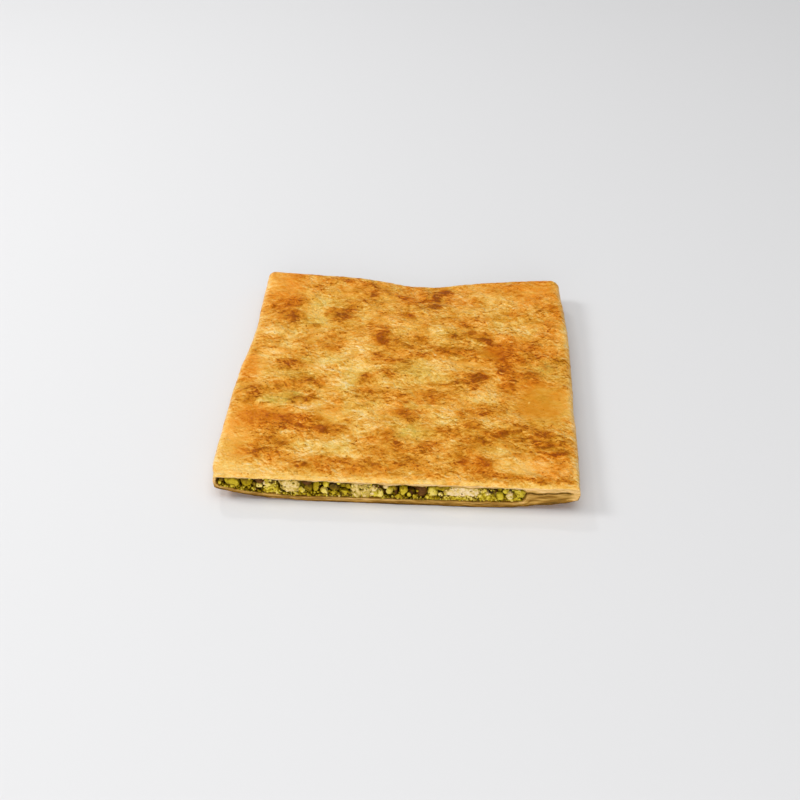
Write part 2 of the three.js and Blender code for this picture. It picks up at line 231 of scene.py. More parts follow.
# ------------------------------------------------------------
# Browning. Each spot: x, y, half length, half width, how much browner (or, below 0, paler) than
# the golden ground it is, and its turn in degrees where it has one.
BROWN_SPOTS = [
    # along the back fold, from the left
    (-69, 88, 3, 4, 0.40), (-58, 91, 6, 2, 0.35), (-49, 83, 3, 3, 0.35), (-54, 76, 3.5, 4, 0.28),
    (-38, 85, 8, 3, 0.55, -8), (-26, 82, 4, 3, 0.45), (-21.5, 72, 2.6, 8, 0.75),
    (-25, 64, 4, 3, 0.60), (-14, 75, 6, 2, 0.35, -65), (-2, 67, 8, 4, 0.60, -55),
    (6, 74, 3, 6, 0.32), (-32, 74, 4, 6, 0.22), (18, 77, 4, 4, 0.90), (13, 76, 1.5, 4, 0.75),
    (22, 78, 2.5, 2, 0.70, -40), (14.5, 69.5, 3, 3.5, 0.95), (10, 66, 2.4, 4, 0.60),
    (6, 67, 2, 4, 0.50), (14, 60, 4, 4, 0.85), (8, 60, 5, 4, 0.35), (21, 68, 2, 6, 0.38),
    (39, 64, 3, 7, 0.20, 20), (54, 77, 4, 5, 0.35), (46, 79, 3, 4, 0.22), (48, 86, 3, 2, 0.25),
    (73, 83, 10, 6, 0.18), (70, 68, 5, 4, 0.32),
    # the left back quarter
    (-66, 61, 5, 5, 0.65), (-73, 55, 5, 6, 0.48), (-64, 46, 6, 5.5, 0.68), (-66, 38, 3.6, 4, 0.52),
    (-83, 50, 3, 5, 0.35), (-73, 47, 4, 4, 0.30), (-59, 41, 2, 1.6, 0.35), (-53, 37, 3, 2, 0.50),
    (-76, 22, 5, 4, 0.30), (-45, 50, 2.6, 4, 0.55), (-40, 54, 4, 2, 0.50), (-33, 54, 2.6, 5, 0.55),
    (-40, 44, 4, 5, 0.60), (-36, 46, 3, 3, 0.60), (-38, 50, 6, 5, 0.75), (-38, 39, 4, 3, 0.35),
    (-19, 38, 9, 6, 0.16), (-17, 52, 4, 2, 0.30), (-16, 62, 3, 2, 0.35), (0.5, 48, 3, 3.5, 0.75),
    (-6, 48, 4, 3, 0.25), (-40, 17, 6, 4, 0.38, 30), (-44, 24, 3, 3, 0.25), (-57, 16, 5, 9, 0.18),
    (-65, 2, 4, 3, 0.50), (-60, 5, 3, 5, 0.30), (-72, 17, 3, 4, 0.28),
    # the middle and the right back quarter
    (-13, 33, 3, 4, 0.50), (-14, 25, 4, 6, 0.65, 20), (-4, 24, 4, 4, 0.50), (-8, 19, 8, 2, 0.28),
    (-15.5, 9, 3.5, 5, 0.72, 20), (-6, 6, 8, 1.6, 0.58, 10), (5.5, 9.5, 6.5, 2.4, 0.72, 22),
    (2, 3, 5, 3, 0.32), (6, 24, 5, 5, 0.40), (9, 38, 3, 4, 0.38), (20, 14, 4.5, 4, 0.62),
    (14, 18, 7, 3, 0.30), (27, 13, 3, 3, 0.45), (34, 14, 5.5, 3.6, 0.58),
    (34, 8.6, 6, 1.2, 0.45, 5), (25.5, 28, 4, 3.6, 0.62), (33, 33, 4, 3, 0.62),
    (33, 28, 5, 3, 0.45), (30, 40, 4, 3, 0.30), (34, 46, 5, 4, 0.30), (25, 45, 7, 4, 0.22),
    (42, 33, 3, 1.6, 0.40), (43, 26, 3.6, 3, 0.85, -30), (48, 22, 5, 2.6, 0.70, -20),
    (56, 25, 4, 5, 0.50), (69, 25, 6, 3, 0.42), (64, 21, 5, 3, 0.32), (45, 16, 6, 5, 0.52),
    (55, 15, 6, 6, 0.66), (52, 6, 4.5, 6, 0.76), (44, 8, 3, 4, 0.35), (62, 10, 3, 3, 0.40),
    (70, 14, 6, 4, 0.45), (68, 7, 5, 3, 0.35), (79, 11, 3, 4, 0.40), (62, 54, 6, 3, 0.25),
    (74, 56, 3, 6, 0.24, -30), (81, 58, 3, 6, 0.35), (78, 45, 2.6, 6, 0.30), (80, 38, 3, 4, 0.35),
    (85, 8, 3, 8, 0.30),
    # the middle and the left front quarter
    (-61, -2, 6, 5, 0.60), (-63, -20, 6, 3, 0.50), (-52, -15, 7, 4, 0.62, 20),
    (-44, -16, 3, 4.4, 0.66), (-77, -28, 4.6, 6.6, 0.72), (-57, -28, 5, 3, 0.38),
    (-49, -30, 6, 2.6, 0.58), (-57, -33, 3, 3, 0.52), (-74, -46, 8, 6, 0.58),
    (-64, -43, 6, 5, 0.46), (-57, -46, 4, 4, 0.50), (-46, -47, 7, 5, 0.55), (-55, -53, 6, 3, 0.40),
    (-44, -54, 8, 4, 0.50), (-34, -54, 7, 4, 0.48), (-28, -54, 3, 4, 0.40), (-64, -55, 5, 4, 0.55),
    (-73, -54, 4, 3, 0.40), (-62, -62, 4, 4, 0.45), (-57, -66, 4, 3, 0.52), (-67, -68, 6, 4, 0.32),
    (-69, -75, 3, 4, 0.52), (-61, -72, 6, 4, 0.32), (-75, -72, 4, 4, 0.26), (-83, -5, 4, 13, 0.26),
    (-20, -12, 4.6, 4.6, 0.75), (-9, -5, 7, 4, 0.60, 10), (-20, -19, 5, 5, 0.46),
    (-14, -23, 9, 3, 0.45), (-5, -27, 7, 2, 0.38, 20), (-20, -34, 5, 1.6, 0.45, 25),
    (-35, -34, 4, 6, 0.26), (-47, -82.5, 5, 2, 0.52), (-37, -79, 6, 3.6, 0.48),
    (-28, -78, 6, 3, 0.48), (-35, -86, 4, 2.4, 0.38), (-22, -84, 6, 2.4, 0.35),
    (-10, -83, 8, 3, 0.36), (-5, -57, 2.6, 5, 0.56), (-14, -63, 4, 6, 0.38), (-11, -74, 7, 6, 0.34),
    # the middle and the right front quarter
    (0, -28, 4, 5, 0.45), (1, -38, 3.6, 5, 0.62), (6, -44, 4, 4, 0.76), (9, -38, 3, 2, 0.42),
    (18, -16, 5, 3, 0.50), (16, -25, 5, 4, 0.60), (13, -30, 5, 2.6, 0.46),
    (25.5, -25, 4, 3.6, 0.42), (39, -8, 6.4, 5.4, 0.95), (37, -15, 3, 4.4, 0.75),
    (31, -12, 4, 4, 0.55), (27, -14, 3, 4, 0.32), (53, -1, 4.6, 4, 0.80), (56, -8, 4, 4, 0.48),
    (55, -15, 5, 5, 0.46), (65, -5, 5, 5, 0.55), (70, -4, 3, 4, 0.60), (68, -10, 5, 1.6, 0.50, 10),
    (75, 3, 3, 3.6, 0.55), (86, 0, 3, 5, 0.35), (70, -18, 12, 8, 0.24), (68, -36, 14, 12, 0.22),
    (41, -37, 5, 3, 0.55), (47, -35, 6, 3, 0.32), (31, -38, 2.6, 4, 0.38), (34, -44, 4, 3, 0.30),
    (38, -48.5, 5, 3, 0.60), (22, -52, 3, 3, 0.60), (26, -55, 5, 4, 0.50), (13, -52, 3, 4, 0.28),
    (34, -59, 5, 3, 0.52, 10), (43, -58, 5, 4, 0.60, 30), (49, -56, 4, 2, 0.50, 30),
    (44, -61.5, 5, 1.6, 0.50), (54, -53, 5.4, 1.6, 0.75, 10), (49, -51, 3, 1.6, 0.50, 40),
    (63, -49.5, 6, 2, 0.50, 10), (68, -53, 3, 3, 0.65), (74, -54, 4, 3, 0.60, -15),
    (62, -58, 7, 3.4, 0.50), (69, -60, 2.6, 2, 0.60, 30), (77, -60, 6, 2.6, 0.55),
    (66, -64, 4, 2, 0.40, -30), (79, -68, 5, 2.6, 0.80, 20), (70, -69, 5, 2.6, 0.45),
    (60, -71, 4, 2.6, 0.48), (35, -67, 5, 5, 0.42), (31, -75, 4, 4, 0.48), (26, -71, 3, 3, 0.35),
    (43, -77, 4, 4, 0.58), (39, -81, 4, 4, 0.38), (46, -86, 4, 3, 0.62), (56, -86.5, 7, 2.4, 0.48),
    (74, -88, 9, 2.4, 0.45), (15, -64, 3, 3, 0.45), (0, -65, 2.6, 6, 0.42), (5, -76, 7, 6, 0.44),
    (12, -69, 4, 5, 0.34), (2, -80, 4, 1.6, 0.50), (28, -80, 6, 1.4, 0.35, 5),
    # pale places of the back half
    (-54, 53, 6, 7, -0.50), (-50, 64, 8, 5, -0.26), (-50, 44, 4, 5, -0.42), (-47, 36, 3, 5, -0.42),
    (-43, 80, 3, 3, -0.26), (-22, 50, 3, 4, -0.48), (-26, 56, 2.6, 4, -0.32), (-8, 60, 5, 4, -0.30),
    (-14, 66, 2, 4, -0.32), (-73, 34, 5, 5, -0.50), (-76, 28, 6, 3, -0.42), (-79, 44, 4, 5, -0.28),
    (-82, 77, 3, 5, -0.36), (-58, 32, 8, 4, -0.28), (-64, 24, 4, 5, -0.36), (-66, 13, 5, 6, -0.32),
    (-31, 19, 3, 5, -0.36), (-25, 17, 6, 4, -0.60), (-31, 10, 6, 3, -0.36, 30),
    (-42, 5, 8, 4, -0.36, 10), (-72, 8, 6, 6, -0.30), (-4, 33, 5, 4, -0.26), (-12, 43, 4, 3, -0.26),
    (2, 40, 5, 4, -0.26), (38, 77, 4, 7, -0.38), (46, 69, 3, 4, -0.42), (56, 67, 5, 7, -0.28),
    (66, 59, 3, 5, -0.34), (35, 56, 4, 5, -0.42), (46, 57, 4, 6, -0.26), (27, 56, 5, 3, -0.22),
    (26, 76, 4, 6, -0.18), (6, 52, 5, 4, -0.24), (8, 44, 6, 2, -0.32, 20), (16, 34, 4, 5, -0.42),
    (15, 27, 3, 4, -0.28), (56, 38, 7, 6, -0.36), (38, 38, 2, 2, -0.40), (50, 28, 3, 2, -0.36),
    (20, 6, 8, 3.6, -0.50, 12), (34, 4, 8, 3, -0.32), (83, 34, 2.4, 8, -0.28),
    # pale places of the front half
    (-74, -11, 6, 9, -0.32), (-67, -9, 4, 4, -0.42), (-46, -4, 9, 6, -0.46), (-26, -1, 8, 5, -0.54),
    (-19, -4, 4, 4, -0.30), (-30, -14, 6, 8, -0.46), (-45, -21.5, 5, 2, -0.50, -30),
    (-63, -26, 5, 2.4, -0.40), (-48, -37, 7, 4, -0.54, 15), (-53, -41, 4, 2.4, -0.40),
    (-36, -45, 6, 5, -0.38), (-23, -38, 8, 3, -0.36, 15), (-17, -43, 7, 6, -0.34),
    (-12, -33, 4, 3, -0.26), (-11, -17, 6, 4, -0.46, 30), (-3, -15, 4, 4, -0.36),
    (-22, -54, 3, 5, -0.48), (-36, -67, 8, 4, -0.46), (-45, -67, 5, 4, -0.58),
    (-44, -73, 7, 3, -0.48), (-28, -68, 6, 6, -0.38), (-21, -74, 7, 2.6, -0.56),
    (-6, -45, 6, 5, -0.32), (-84, -66, 4, 14, -0.34), (-74, -85, 11, 4, -0.44),
    (-60, -86, 8, 3, -0.30), (10, 0, 8, 4, -0.36), (14, -8, 6, 5, -0.32), (4, -12, 5, 6, -0.32),
    (27, -1, 5, 4, -0.32), (48, -9, 3.4, 8, -0.32), (43, -25, 7, 6, -0.46), (36, -27, 3, 3, -0.48),
    (26, -35, 8, 4, -0.46, 50), (23, -45, 5, 4, -0.32), (15, -38, 4, 5, -0.26),
    (6, -33, 4, 3, -0.36), (45, -46, 4, 4, -0.32), (7, -54, 6, 4, -0.32), (47, -69, 9, 3.6, -0.42),
    (50, -73.5, 8, 1.8, -0.44), (62, -79, 6, 4, -0.50), (63, -84, 6, 2.4, -0.46),
    (52, -80, 4, 4, -0.30), (24, -63, 4, 6, -0.18), (85, -80, 3, 6, -0.26),
    (86, -35, 2.4, 18, -0.24),
]
# Where the crust is more orange, or, below 0, more yellow than elsewhere
ORANGE_SPOTS = [
    (-76, 72, 13, 24, 0.90), (-56, 80, 10, 9, 0.50), (-30, 80, 14, 8, 0.40), (2, 73, 12, 8, 0.80),
    (29, 70, 9, 11, 0.60), (46, 79, 10, 8, 0.45), (68, 74, 14, 17, 0.80), (38, 46, 8, 8, 0.35),
    (54, 14, 9, 20, 0.80), (74, 24, 12, 12, 0.45), (60, -15, 10, 11, 0.60), (79, 45, 6, 20, 0.35),
    (-82, -5, 6, 12, 0.90), (-76, -50, 13, 13, 0.80), (-54, -50, 12, 10, 0.45),
    (-58, -78, 16, 7, 0.50), (-30, -81, 12, 5, 0.40), (38, -79, 10, 7, 0.60),
    (76, -76, 10, 10, 0.80), (20, -68, 8, 8, 0.30), (-16, 43, 6, 12, 0.35), (-26, 33, 8, 5, 0.35),
    (-4, 12, 6, 5, 0.30), (-3, -29, 6, 6, 0.30), (-48, 62, 11, 8, -0.75), (-52, 44, 11, 9, -0.80),
    (-32, 46, 9, 9, -0.35), (-44, 4, 12, 6, -0.60), (-58, -9, 14, 6, -0.65),
    (-28, -16, 7, 14, -0.60), (-62, -31, 12, 6, -0.90, 10), (5, -3, 11, 11, -0.85),
    (-8, -15, 12, 8, -0.45), (21, 28, 10, 8, -0.45), (-4, 23, 6, 8, -0.35), (6, -54, 11, 9, -0.85),
    (-22, -35, 10, 4, -0.45), (-36, -67, 15, 6, -0.65), (80, 3, 10, 9, -0.60),
    (44, -65, 12, 6, -0.45), (66, -50, 18, 8, -0.30), (24, -46, 10, 8, -0.35),
    (16, -12, 8, 12, -0.45), (-66, 30, 9, 7, -0.35), (52, 42, 10, 7, -0.30), (56, 66, 5, 7, -0.30),
    (-32, 74, 5, 7, -0.50), (-20, 0, 9, 7, -0.40), (72, -28, 13, 17, -0.45),
]
# Where the nuts show green through the dough
GREEN_SPOTS = [
    (-65, -32, 6, 3, 0.75), (-58, -26, 6, 3, 0.40), (-51, 43, 5, 5, 0.35), (-52, 60, 6, 7, 0.30),
    (6, -54, 6, 5, 0.50), (7, -5, 7, 5, 0.35), (75, 3, 4, 4, 0.55), (-28, -12, 5, 8, 0.25),
    (-20, -34, 7, 2, 0.35, 20), (-38, 3, 8, 4, 0.22), (5, -33, 4, 3, 0.35), (-28, -66, 6, 5, 0.28),
]

# Where the dough is smooth, not wrinkled
CALM_SPOTS = [
    (72, -28, 13, 17, 0.95), (46, 15, 8, 5, 0.80), (-74, 78, 12, 14, 0.60), (72, 80, 12, 9, 0.55),
    (-80, -60, 8, 26, 0.60), (-70, -44, 12, 6, 0.60), (-36, -42, 9, 8, 0.45), (34, 5, 10, 3, 0.50),
    (-80, -5, 8, 18, 0.45), (60, -80, 12, 5, 0.45), (-33, 72, 8, 8, 0.50), (48, 77, 8, 8, 0.50),
]


def spot_field(points, spots, sign=1, reach=1.0):
    """Soft, flat-topped spots of one sign, laid over each other: from 0 to 1."""
    clear = np.ones(len(points))
    for x, y, length, width, strength, *turn in spots:
        if strength * sign <= 0:
            continue
        angle = math.radians(turn[0] if turn else 0)
        c, s = math.cos(angle), math.sin(angle)
        dx, dy = points[:, 0] - x, points[:, 1] - y
        along = (c * dx + s * dy) / (length * reach)
        across = (c * dy - s * dx) / (width * reach)
        cover = np.exp(-((along**2 + across**2) ** 2.4) * 0.75)
        clear *= 1 - min(abs(strength), 1.0) * cover
    return 1 - clear


# ------------------------------------------------------------
# The dough's skin: relief along its normal, and how each place is baked
GROUND_BROWNING = 0.550  # how browned the crust is between its spots
BROWN_GAIN, PALE_GAIN = 0.31, 0.22  # how much a full spot adds or takes off
DARK_GAIN = 0.08  # the strongest spots' extra browning
WIDE_REACH, WIDE_GAIN = 2.2, 0.10  # how the spots' surroundings are baked


def dough_skin(points, normals):
    """Relief in mm and, as numbers of about 0 to 1, how browned, spotted, orange, green and
    lively places of the skin are."""
    facing_up = smooth(-0.2, 0.5, normals[:, 2])
    facing_down = smooth(-0.3, -0.8, normals[:, 2])
    ragged = warped(warped(points, 5, 1.0, 31), 2.4, 0.7, 41)
    brown = spot_field(ragged, BROWN_SPOTS) * facing_up
    pale = spot_field(ragged, BROWN_SPOTS, -1) * facing_up
    wide = spot_field(points, BROWN_SPOTS, 1, WIDE_REACH)
    wide = wide - spot_field(points, BROWN_SPOTS, -1, WIDE_REACH)
    orange = spot_field(ragged, ORANGE_SPOTS) - spot_field(ragged, ORANGE_SPOTS, -1)
    green = spot_field(warped(points, 4, 1.4, 51), GREEN_SPOTS) * facing_up
    calm = 1 - spot_field(ragged, CALM_SPOTS)
    under = on_plane(points[:, 0], points[:, 1])
    brown += facing_down * (0.10 + 0.75 * fractal(under, (17, 15, 9), 61))

    swirl = warped(warped(points, 13, 5.0, 101), 4.5, 1.6, 105)
    blister = domes(warped(points, 7, 1.8, 71), 15, (3.5, 8), 72, 0.8)
    bubble = domes(warped(points, 3, 1.0, 81), 5.5, (1.4, 2.8), 82, 0.6)
    swell = fractal(swirl, (12, 8, 9), 102, 2)
    pucker = noise(swirl, (5.0, 3.6, 5), 107)
    crease = np.clip(1 - 5.0 * np.abs(noise(swirl, (13, 7, 9), 103)), 0, 1)
    flake = smooth(-0.04, 0.04, fractal(swirl, (7, 4.6, 6), 111, 3))
    leaf = smooth(0.06, 0.14, fractal(swirl, (16, 11, 12), 115, 4))
    scrap = smooth(-0.10, 0.10, noise(swirl, (3.0, 2.2, 2.6), 118))
    rough = calm * smooth(-0.6, 0.4, fractal(points, 20, 131, 2))

    relief = 0.50 * blister + calm * (0.22 * bubble + 0.40 * swell + 0.30 * crease + 0.24 * leaf)
    relief += calm * 0.14 * flake + rough * (0.24 * pucker + 0.12 * scrap)
    relief += 0.40 * brown - 0.15 * pale

    tone = 0.02 * fractal(points, (11, 9, 9), 141, 2) + 0.02 * noise(ragged, (6.0, 4.6, 4), 142)
    tone += calm * (0.05 * (flake - 0.5) - 0.04 * (leaf - 0.4) + 0.07 * (scrap - 0.5))
    tone += calm * (0.10 * crease - 0.07 * pucker + 0.04 * bubble)
    hue = 0.5 + 0.5 * orange + 0.35 * brown - 0.15 * pale
    hue = hue + 0.14 * fractal(swirl, (9, 7, 7), 161, 2)
    values = {
        "bake": GROUND_BROWNING + WIDE_GAIN * wide * facing_up + tone,
        "spots": BROWN_GAIN * brown + DARK_GAIN * smooth(0.55, 1.0, brown) - PALE_GAIN * pale,
        "orange": hue,
        "green": green,
        "lively": 0.2 + 0.8 * calm,
    }
    return relief, values


# ------------------------------------------------------------
# Mesh building


class Builder:
    """Collects points, values at the points and faces, and makes one mesh of them."""

    def __init__(self, *values):
        self.points = []
        self.values = {name: [] for name in values}
        self.faces = []
        self.materials = []
        self.count = 0

    def add(self, points, **values):
        """Adds points of any array shape and gives their numbers in the same shape."""
        shape = points.shape[:-1]
        size = int(np.prod(shape))
        self.points.append(points.reshape(-1, 3))
        for name, store in self.values.items():
            store.append(np.broadcast_to(values.get(name, 0.0), shape).reshape(-1))
        numbers = np.arange(self.count, self.count + size).reshape(shape)
        self.count += size
        return numbers

    def quads(self, grid, material=0, flip=False):
        """Faces between the rows and columns of a grid of point numbers."""
        corners = [grid[:-1, :-1], grid[:-1, 1:], grid[1:, 1:], grid[1:, :-1]]
        faces = np.stack(corners, -1).reshape(-1, 4)
        self.polygons(faces[:, ::-1] if flip else faces, material)

    def tube(self, rings):
        """Faces round a tube, given a row of point numbers for each ring."""
        self.quads(np.concatenate([rings, rings[:, :1]], axis=1), flip=True)

    def polygons(self, faces, material=0):
        """Faces, each given as its point numbers."""
        self.faces.extend([int(number) for number in face] for face in faces)
        self.materials.extend([material] * len(faces))

    def make(self, name, materials, smooth_shaded=True):
        """The mesh object. Each value becomes an attribute that materials can read."""
        mesh = bpy.data.meshes.new(name)
        mesh.from_pydata(np.concatenate(self.points) * MM, [], self.faces)
        mesh.polygons.foreach_set("material_index", self.materials)
        mesh.polygons.foreach_set("use_smooth", [smooth_shaded] * len(self.faces))
        for name_of_value, store in self.values.items():
            layer = mesh.attributes.new(name_of_value, "FLOAT", "POINT")
            layer.data.foreach_set("value", np.concatenate(store).astype(np.float32))
        for material in materials:
            mesh.materials.append(material)
        mesh.update()
        piece = bpy.data.objects.new(name, mesh)
        bpy.context.scene.collection.objects.link(piece)
        return piece


def coarse_faces(coarse, fine):
    """Faces of a grid with every second row and column of a finer one, with which it shares its
    left, right and last edges, so that no gap opens between the two."""
    rows, columns = coarse.shape
    faces = []
    for j in range(rows - 1):
        for i in range(columns - 1):
            face = [coarse[j, i], coarse[j, i + 1]]
            if i == columns - 2:
                face.append(fine[2 * j + 1, -1])
            face.append(coarse[j + 1, i + 1])
            if j == rows - 2:
                face.append(fine[-1, 2 * i + 1])
            face.append(coarse[j + 1, i])
            if i == 0:
                face.append(fine[2 * j + 1, 0])
            faces.append(face)
    return faces


def pillow(builder, upper, lower, upper_values, lower_values):
    """Two grids that meet along their left, right and last edges: the upper one whole, and the
    lower one with half the rows and columns. Gives the point numbers of both."""
    top = builder.add(upper, **upper_values)
    bottom = builder.add(lower[::2, ::2], **{k: v[::2, ::2] for k, v in lower_values.items()})
    bottom[:, 0], bottom[:, -1], bottom[-1] = top[::2, 0], top[::2, -1], top[-1, ::2]
    builder.quads(top)
    builder.polygons([face[::-1] for face in coarse_faces(bottom, top)])
    return top, bottom


def grid_normals(grid):
    """Unit normals of a grid of points, pointing up from a flat one."""
    across = np.gradient(grid, axis=1)
    along = np.gradient(grid, axis=0)
    normal = np.cross(across, along)
    return normal / np.maximum(np.linalg.norm(normal, axis=2, keepdims=True), 1e-9)


# ------------------------------------------------------------
# The dough packet


def rim_offsets():
    """Distances in from an edge, closest together at the edge, where a rim is steepest."""
    turn = np.linspace(0, math.pi / 2, RIM_STEPS + 1)
    return RIM_RADIUS * (1 - np.cos(turn))


def even_steps(length):
    """How many steps of about TOP_STEP fill a length: an even number."""
    return 2 * round(length / TOP_STEP / 2)


def shell_grids():
    """The outside of the packet: points of its top and bottom faces, without relief."""
    rim = rim_offsets()
    columns = even_steps(WIDTH - 2 * RIM_RADIUS)
    rows = even_steps(DEPTH - RIM_RADIUS)
    inner = np.linspace(0, 1, columns + 1)[1:-1]
    from_front = np.linspace(0, 1, rows + 1)[:-1]
    nominal_x = np.concatenate([rim, mix(RIM_RADIUS, WIDTH - RIM_RADIUS, inner), WIDTH - rim[::-1]])
    nominal_y = np.concatenate([from_front * (DEPTH - RIM_RADIUS), DEPTH - rim[::-1]])
    u = 2 * nominal_x / WIDTH - 1
    v = (2 * nominal_y / DEPTH - 1)[:, None]
    left, right = left_x(v), right_x(v)
    x = np.concatenate(
        [
            left + rim,
            mix(left + RIM_RADIUS, right - RIM_RADIUS, inner),
            right - rim[::-1],
        ],
        axis=1,
    )
    back = back_y(u)
    y = np.concatenate(
        [
            mix(FRONT, back - RIM_RADIUS, from_front[:, None]),
            back - rim[::-1][:, None],
        ]
    )
    u, v = np.broadcast_arrays(u, v)
    top, bottom = top_level(u, v), bottom_level(u, v)
    front_share = 1 - quarter_round(y - FRONT, FRONT_ROUND)
    top = top - FRONT_DROP * front_share
    bottom = bottom + FRONT_RISE * FRONT_DROP * front_share
    sides = np.minimum(x - left, right - x)
    side_radius = mix(CUT_CORNER, RIM_RADIUS, smooth(-1, -0.75, v))
    share = quarter_round(sides, side_radius) * quarter_round(back - y, RIM_RADIUS)
    middle = (top + bottom) / 2
    upper = np.stack([x, y, mix(middle, top, share)], -1)
    lower = np.stack([x, y, mix(middle, bottom, share)], -1)
    return upper, lower, np.minimum(sides, back - y)


RIM_RELIEF, UNDERSIDE_RELIEF = 0.25, 0.6  # how much of the relief the rims and the underside have
PAINTED_RIM_LIGHT = 0.22  # how much paler the rims are painted: painted light on rims that face sideways
STRIP_BAKE, STRIP_ORANGE, STRIP_LIVELY = 0.34, 0.30, 0.55  # the crust's look along the cut


def with_skin(grid, inset, facing):
    """The grid with its relief, and how each point is baked. inset is how far in each point is
    from the side and back rims, and facing is 1 for the top and -1 for the bottom."""
    normals = facing * grid_normals(grid)
    relief, values = dough_skin(grid.reshape(-1, 3), normals.reshape(-1, 3))
    values = {name: value.reshape(inset.shape) for name, value in values.items()}
    push = relief.reshape(inset.shape) * mix(RIM_RELIEF, 1, smooth(0, 7, inset))
    push = push * (1.0 if facing > 0 else UNDERSIDE_RELIEF)
    moved = grid + normals * push[..., None]
    moved[..., 2] = np.maximum(moved[..., 2], 0)
    # Painted light: the rims face sideways and catch less light, so they are painted paler
    values["bake"] -= PAINTED_RIM_LIGHT * smooth(4.5, 0.5, inset)
    from_cut = grid[..., 1] - FRONT
    if facing > 0:
        make_strip_pale(grid, from_cut, values)
        lip = 0.55 * fractal(on_plane(grid[..., 0]), 7, 165, 3).reshape(inset.shape)
        moved[..., 1] += lip * smooth(6, 0, from_cut)
    else:
        values["bake"] = mix(values["bake"], 1.0, smooth(1.4, 0.0, from_cut))
    return moved, values


def make_strip_pale(grid, from_cut, values):
    """Bakes the crust less in a ragged strip along the cut, widest at the left corner."""
    x, flat = grid[..., 0], grid.reshape(-1, 3)
    waver = fractal(flat, 8, 161, 3).reshape(x.shape)
    streak = fractal(flat, (12, 0.9, 9), 163, 3).reshape(x.shape)
    width = 3.4 + 6.0 * smooth(-50, -72, x) - 1.6 * smooth(28, 48, x) + 1.4 * waver
    strip = smooth(1.5, 0.4, from_cut / width)
    paler = STRIP_BAKE + 0.13 * waver + 0.12 * streak
    values["bake"] = mix(values["bake"], paler, 0.85 * strip)
    values["spots"] = mix(values["spots"], 0.0, 0.85 * strip)
    values["orange"] = mix(values["orange"], STRIP_ORANGE, 0.8 * strip)
    values["lively"] = mix(values["lively"], STRIP_LIVELY, 0.7 * strip)


def sheet_above(u, v):
    """Thickness of the dough over the filling: thin at the left of the cut, thick at its right."""
    at_cut = mix(TOP_SHEET_AT_LEFT, TOP_SHEET_AT_RIGHT, smooth(-1, 0.1, u))
    return mix(at_cut, TOP_SHEET, smooth(-0.98, -0.7, v)) * (1 - 0.2 * smooth(0.8, 1, u))


def sheet_below(u):
    """Thickness of the dough under the filling, which thins towards both ends."""
    return BOTTOM_SHEET * (1 - 0.50 * smooth(0.25, 0.85, -u) - 0.30 * smooth(0.5, 0.95, u))


def filling_edges(v):
    """x of the left and right ends of the filling."""
    wall = mix(RIGHT_WALL_AT_CUT, RIGHT_WALL, smooth(-0.95, -0.3, v))
    left_wall = mix(LEFT_WALL_AT_CUT, LEFT_WALL, smooth(-1, -0.8, v))
    return left_x(v) + left_wall, right_x(v) - wall


def pocket_limits(x, y):
    """Levels of the pocket's ceiling and floor over a place in the filling."""
    u, v = to_uv(x, y)
    p = on_plane(x, y)
    waver = 0.60 * noise(p, (6.5, 9, 9), 201) + 0.55 * noise(p, (15, 20, 9), 202)
    waver = (waver + 0.50 * noise(p, (3.2, 6, 9), 203)).reshape(np.shape(x))
    ceiling = top_level(u, v) - FRONT_DROP * 0.3 - sheet_above(u, v) + waver
    return ceiling, bottom_level(u, v) + sheet_below(u)


# How far in from the cut the rows of the pocket's points lie
POCKET_DEPTHS = [0, 0.9, 2.2, 4, 7, 11, 16, 24, 36, 52, 72, 95, 120, 145, 163, 171, 175, POCKET_END]


def pocket_grids(columns):
    """The pocket between the sheets, which narrows to a slit at the right of the cut."""
    depth = np.array(POCKET_DEPTHS)
    y = (FRONT + depth)[:, None]
    v = 2 * depth[:, None] / DEPTH - 1
    left, fill_right = filling_edges(v)
    slit_open = smooth(SLIT_DEPTH, 0, depth[:, None])
    right = right_x(v) - mix(RIGHT_WALL, SLIT_WALL, slit_open)
    x = mix(left, right, columns)
    y = np.broadcast_to(y, x.shape)
    ceiling, floor = pocket_limits(x, y)
    left_round = mix(0.8, 2.5, smooth(0, 12, depth[:, None]))
    filled = quarter_round(x - left, left_round) * quarter_round(fill_right - x, 3.5)
    filled = filled * quarter_round(POCKET_END - depth[:, None], 5)
    share = ramp(0.62, 0.955, to_uv(x, y)[0])
    slit_level = HEIGHT - SLIT_BELOW + SLIT_RISE * share
    slit_level = slit_level + 0.35 * np.sin(9 * share) + 0.2 * np.sin(23 * share)
    slit = 1.7 * SLIT_HEIGHT * mix(1, 0.7, share) * np.maximum(slit_open, 0.08)
    slit = slit * smooth(0, 1.0, right - x) * smooth(0, 0.5, x - left)
    slit = slit * ramp(POCKET_END, POCKET_END - 4, depth[:, None])
    middle = mix(slit_level, (ceiling + floor) / 2, smooth(0, 0.7, filled))
    half = np.maximum(filled * (ceiling - floor), slit) / 2
    ragged = np.zeros(x.shape)
    p = on_plane(x[0])
    ragged[0] = 0.5 * np.abs(noise(p, (3.1, 9, 9), 211)) + 0.25 * (1 + noise(p, (11, 9, 9), 212))
    upper = np.stack([x, y + ragged, middle + half], -1)
    lower = np.stack([x, y + 0.6 * ragged, middle - half], -1)
    return upper, lower


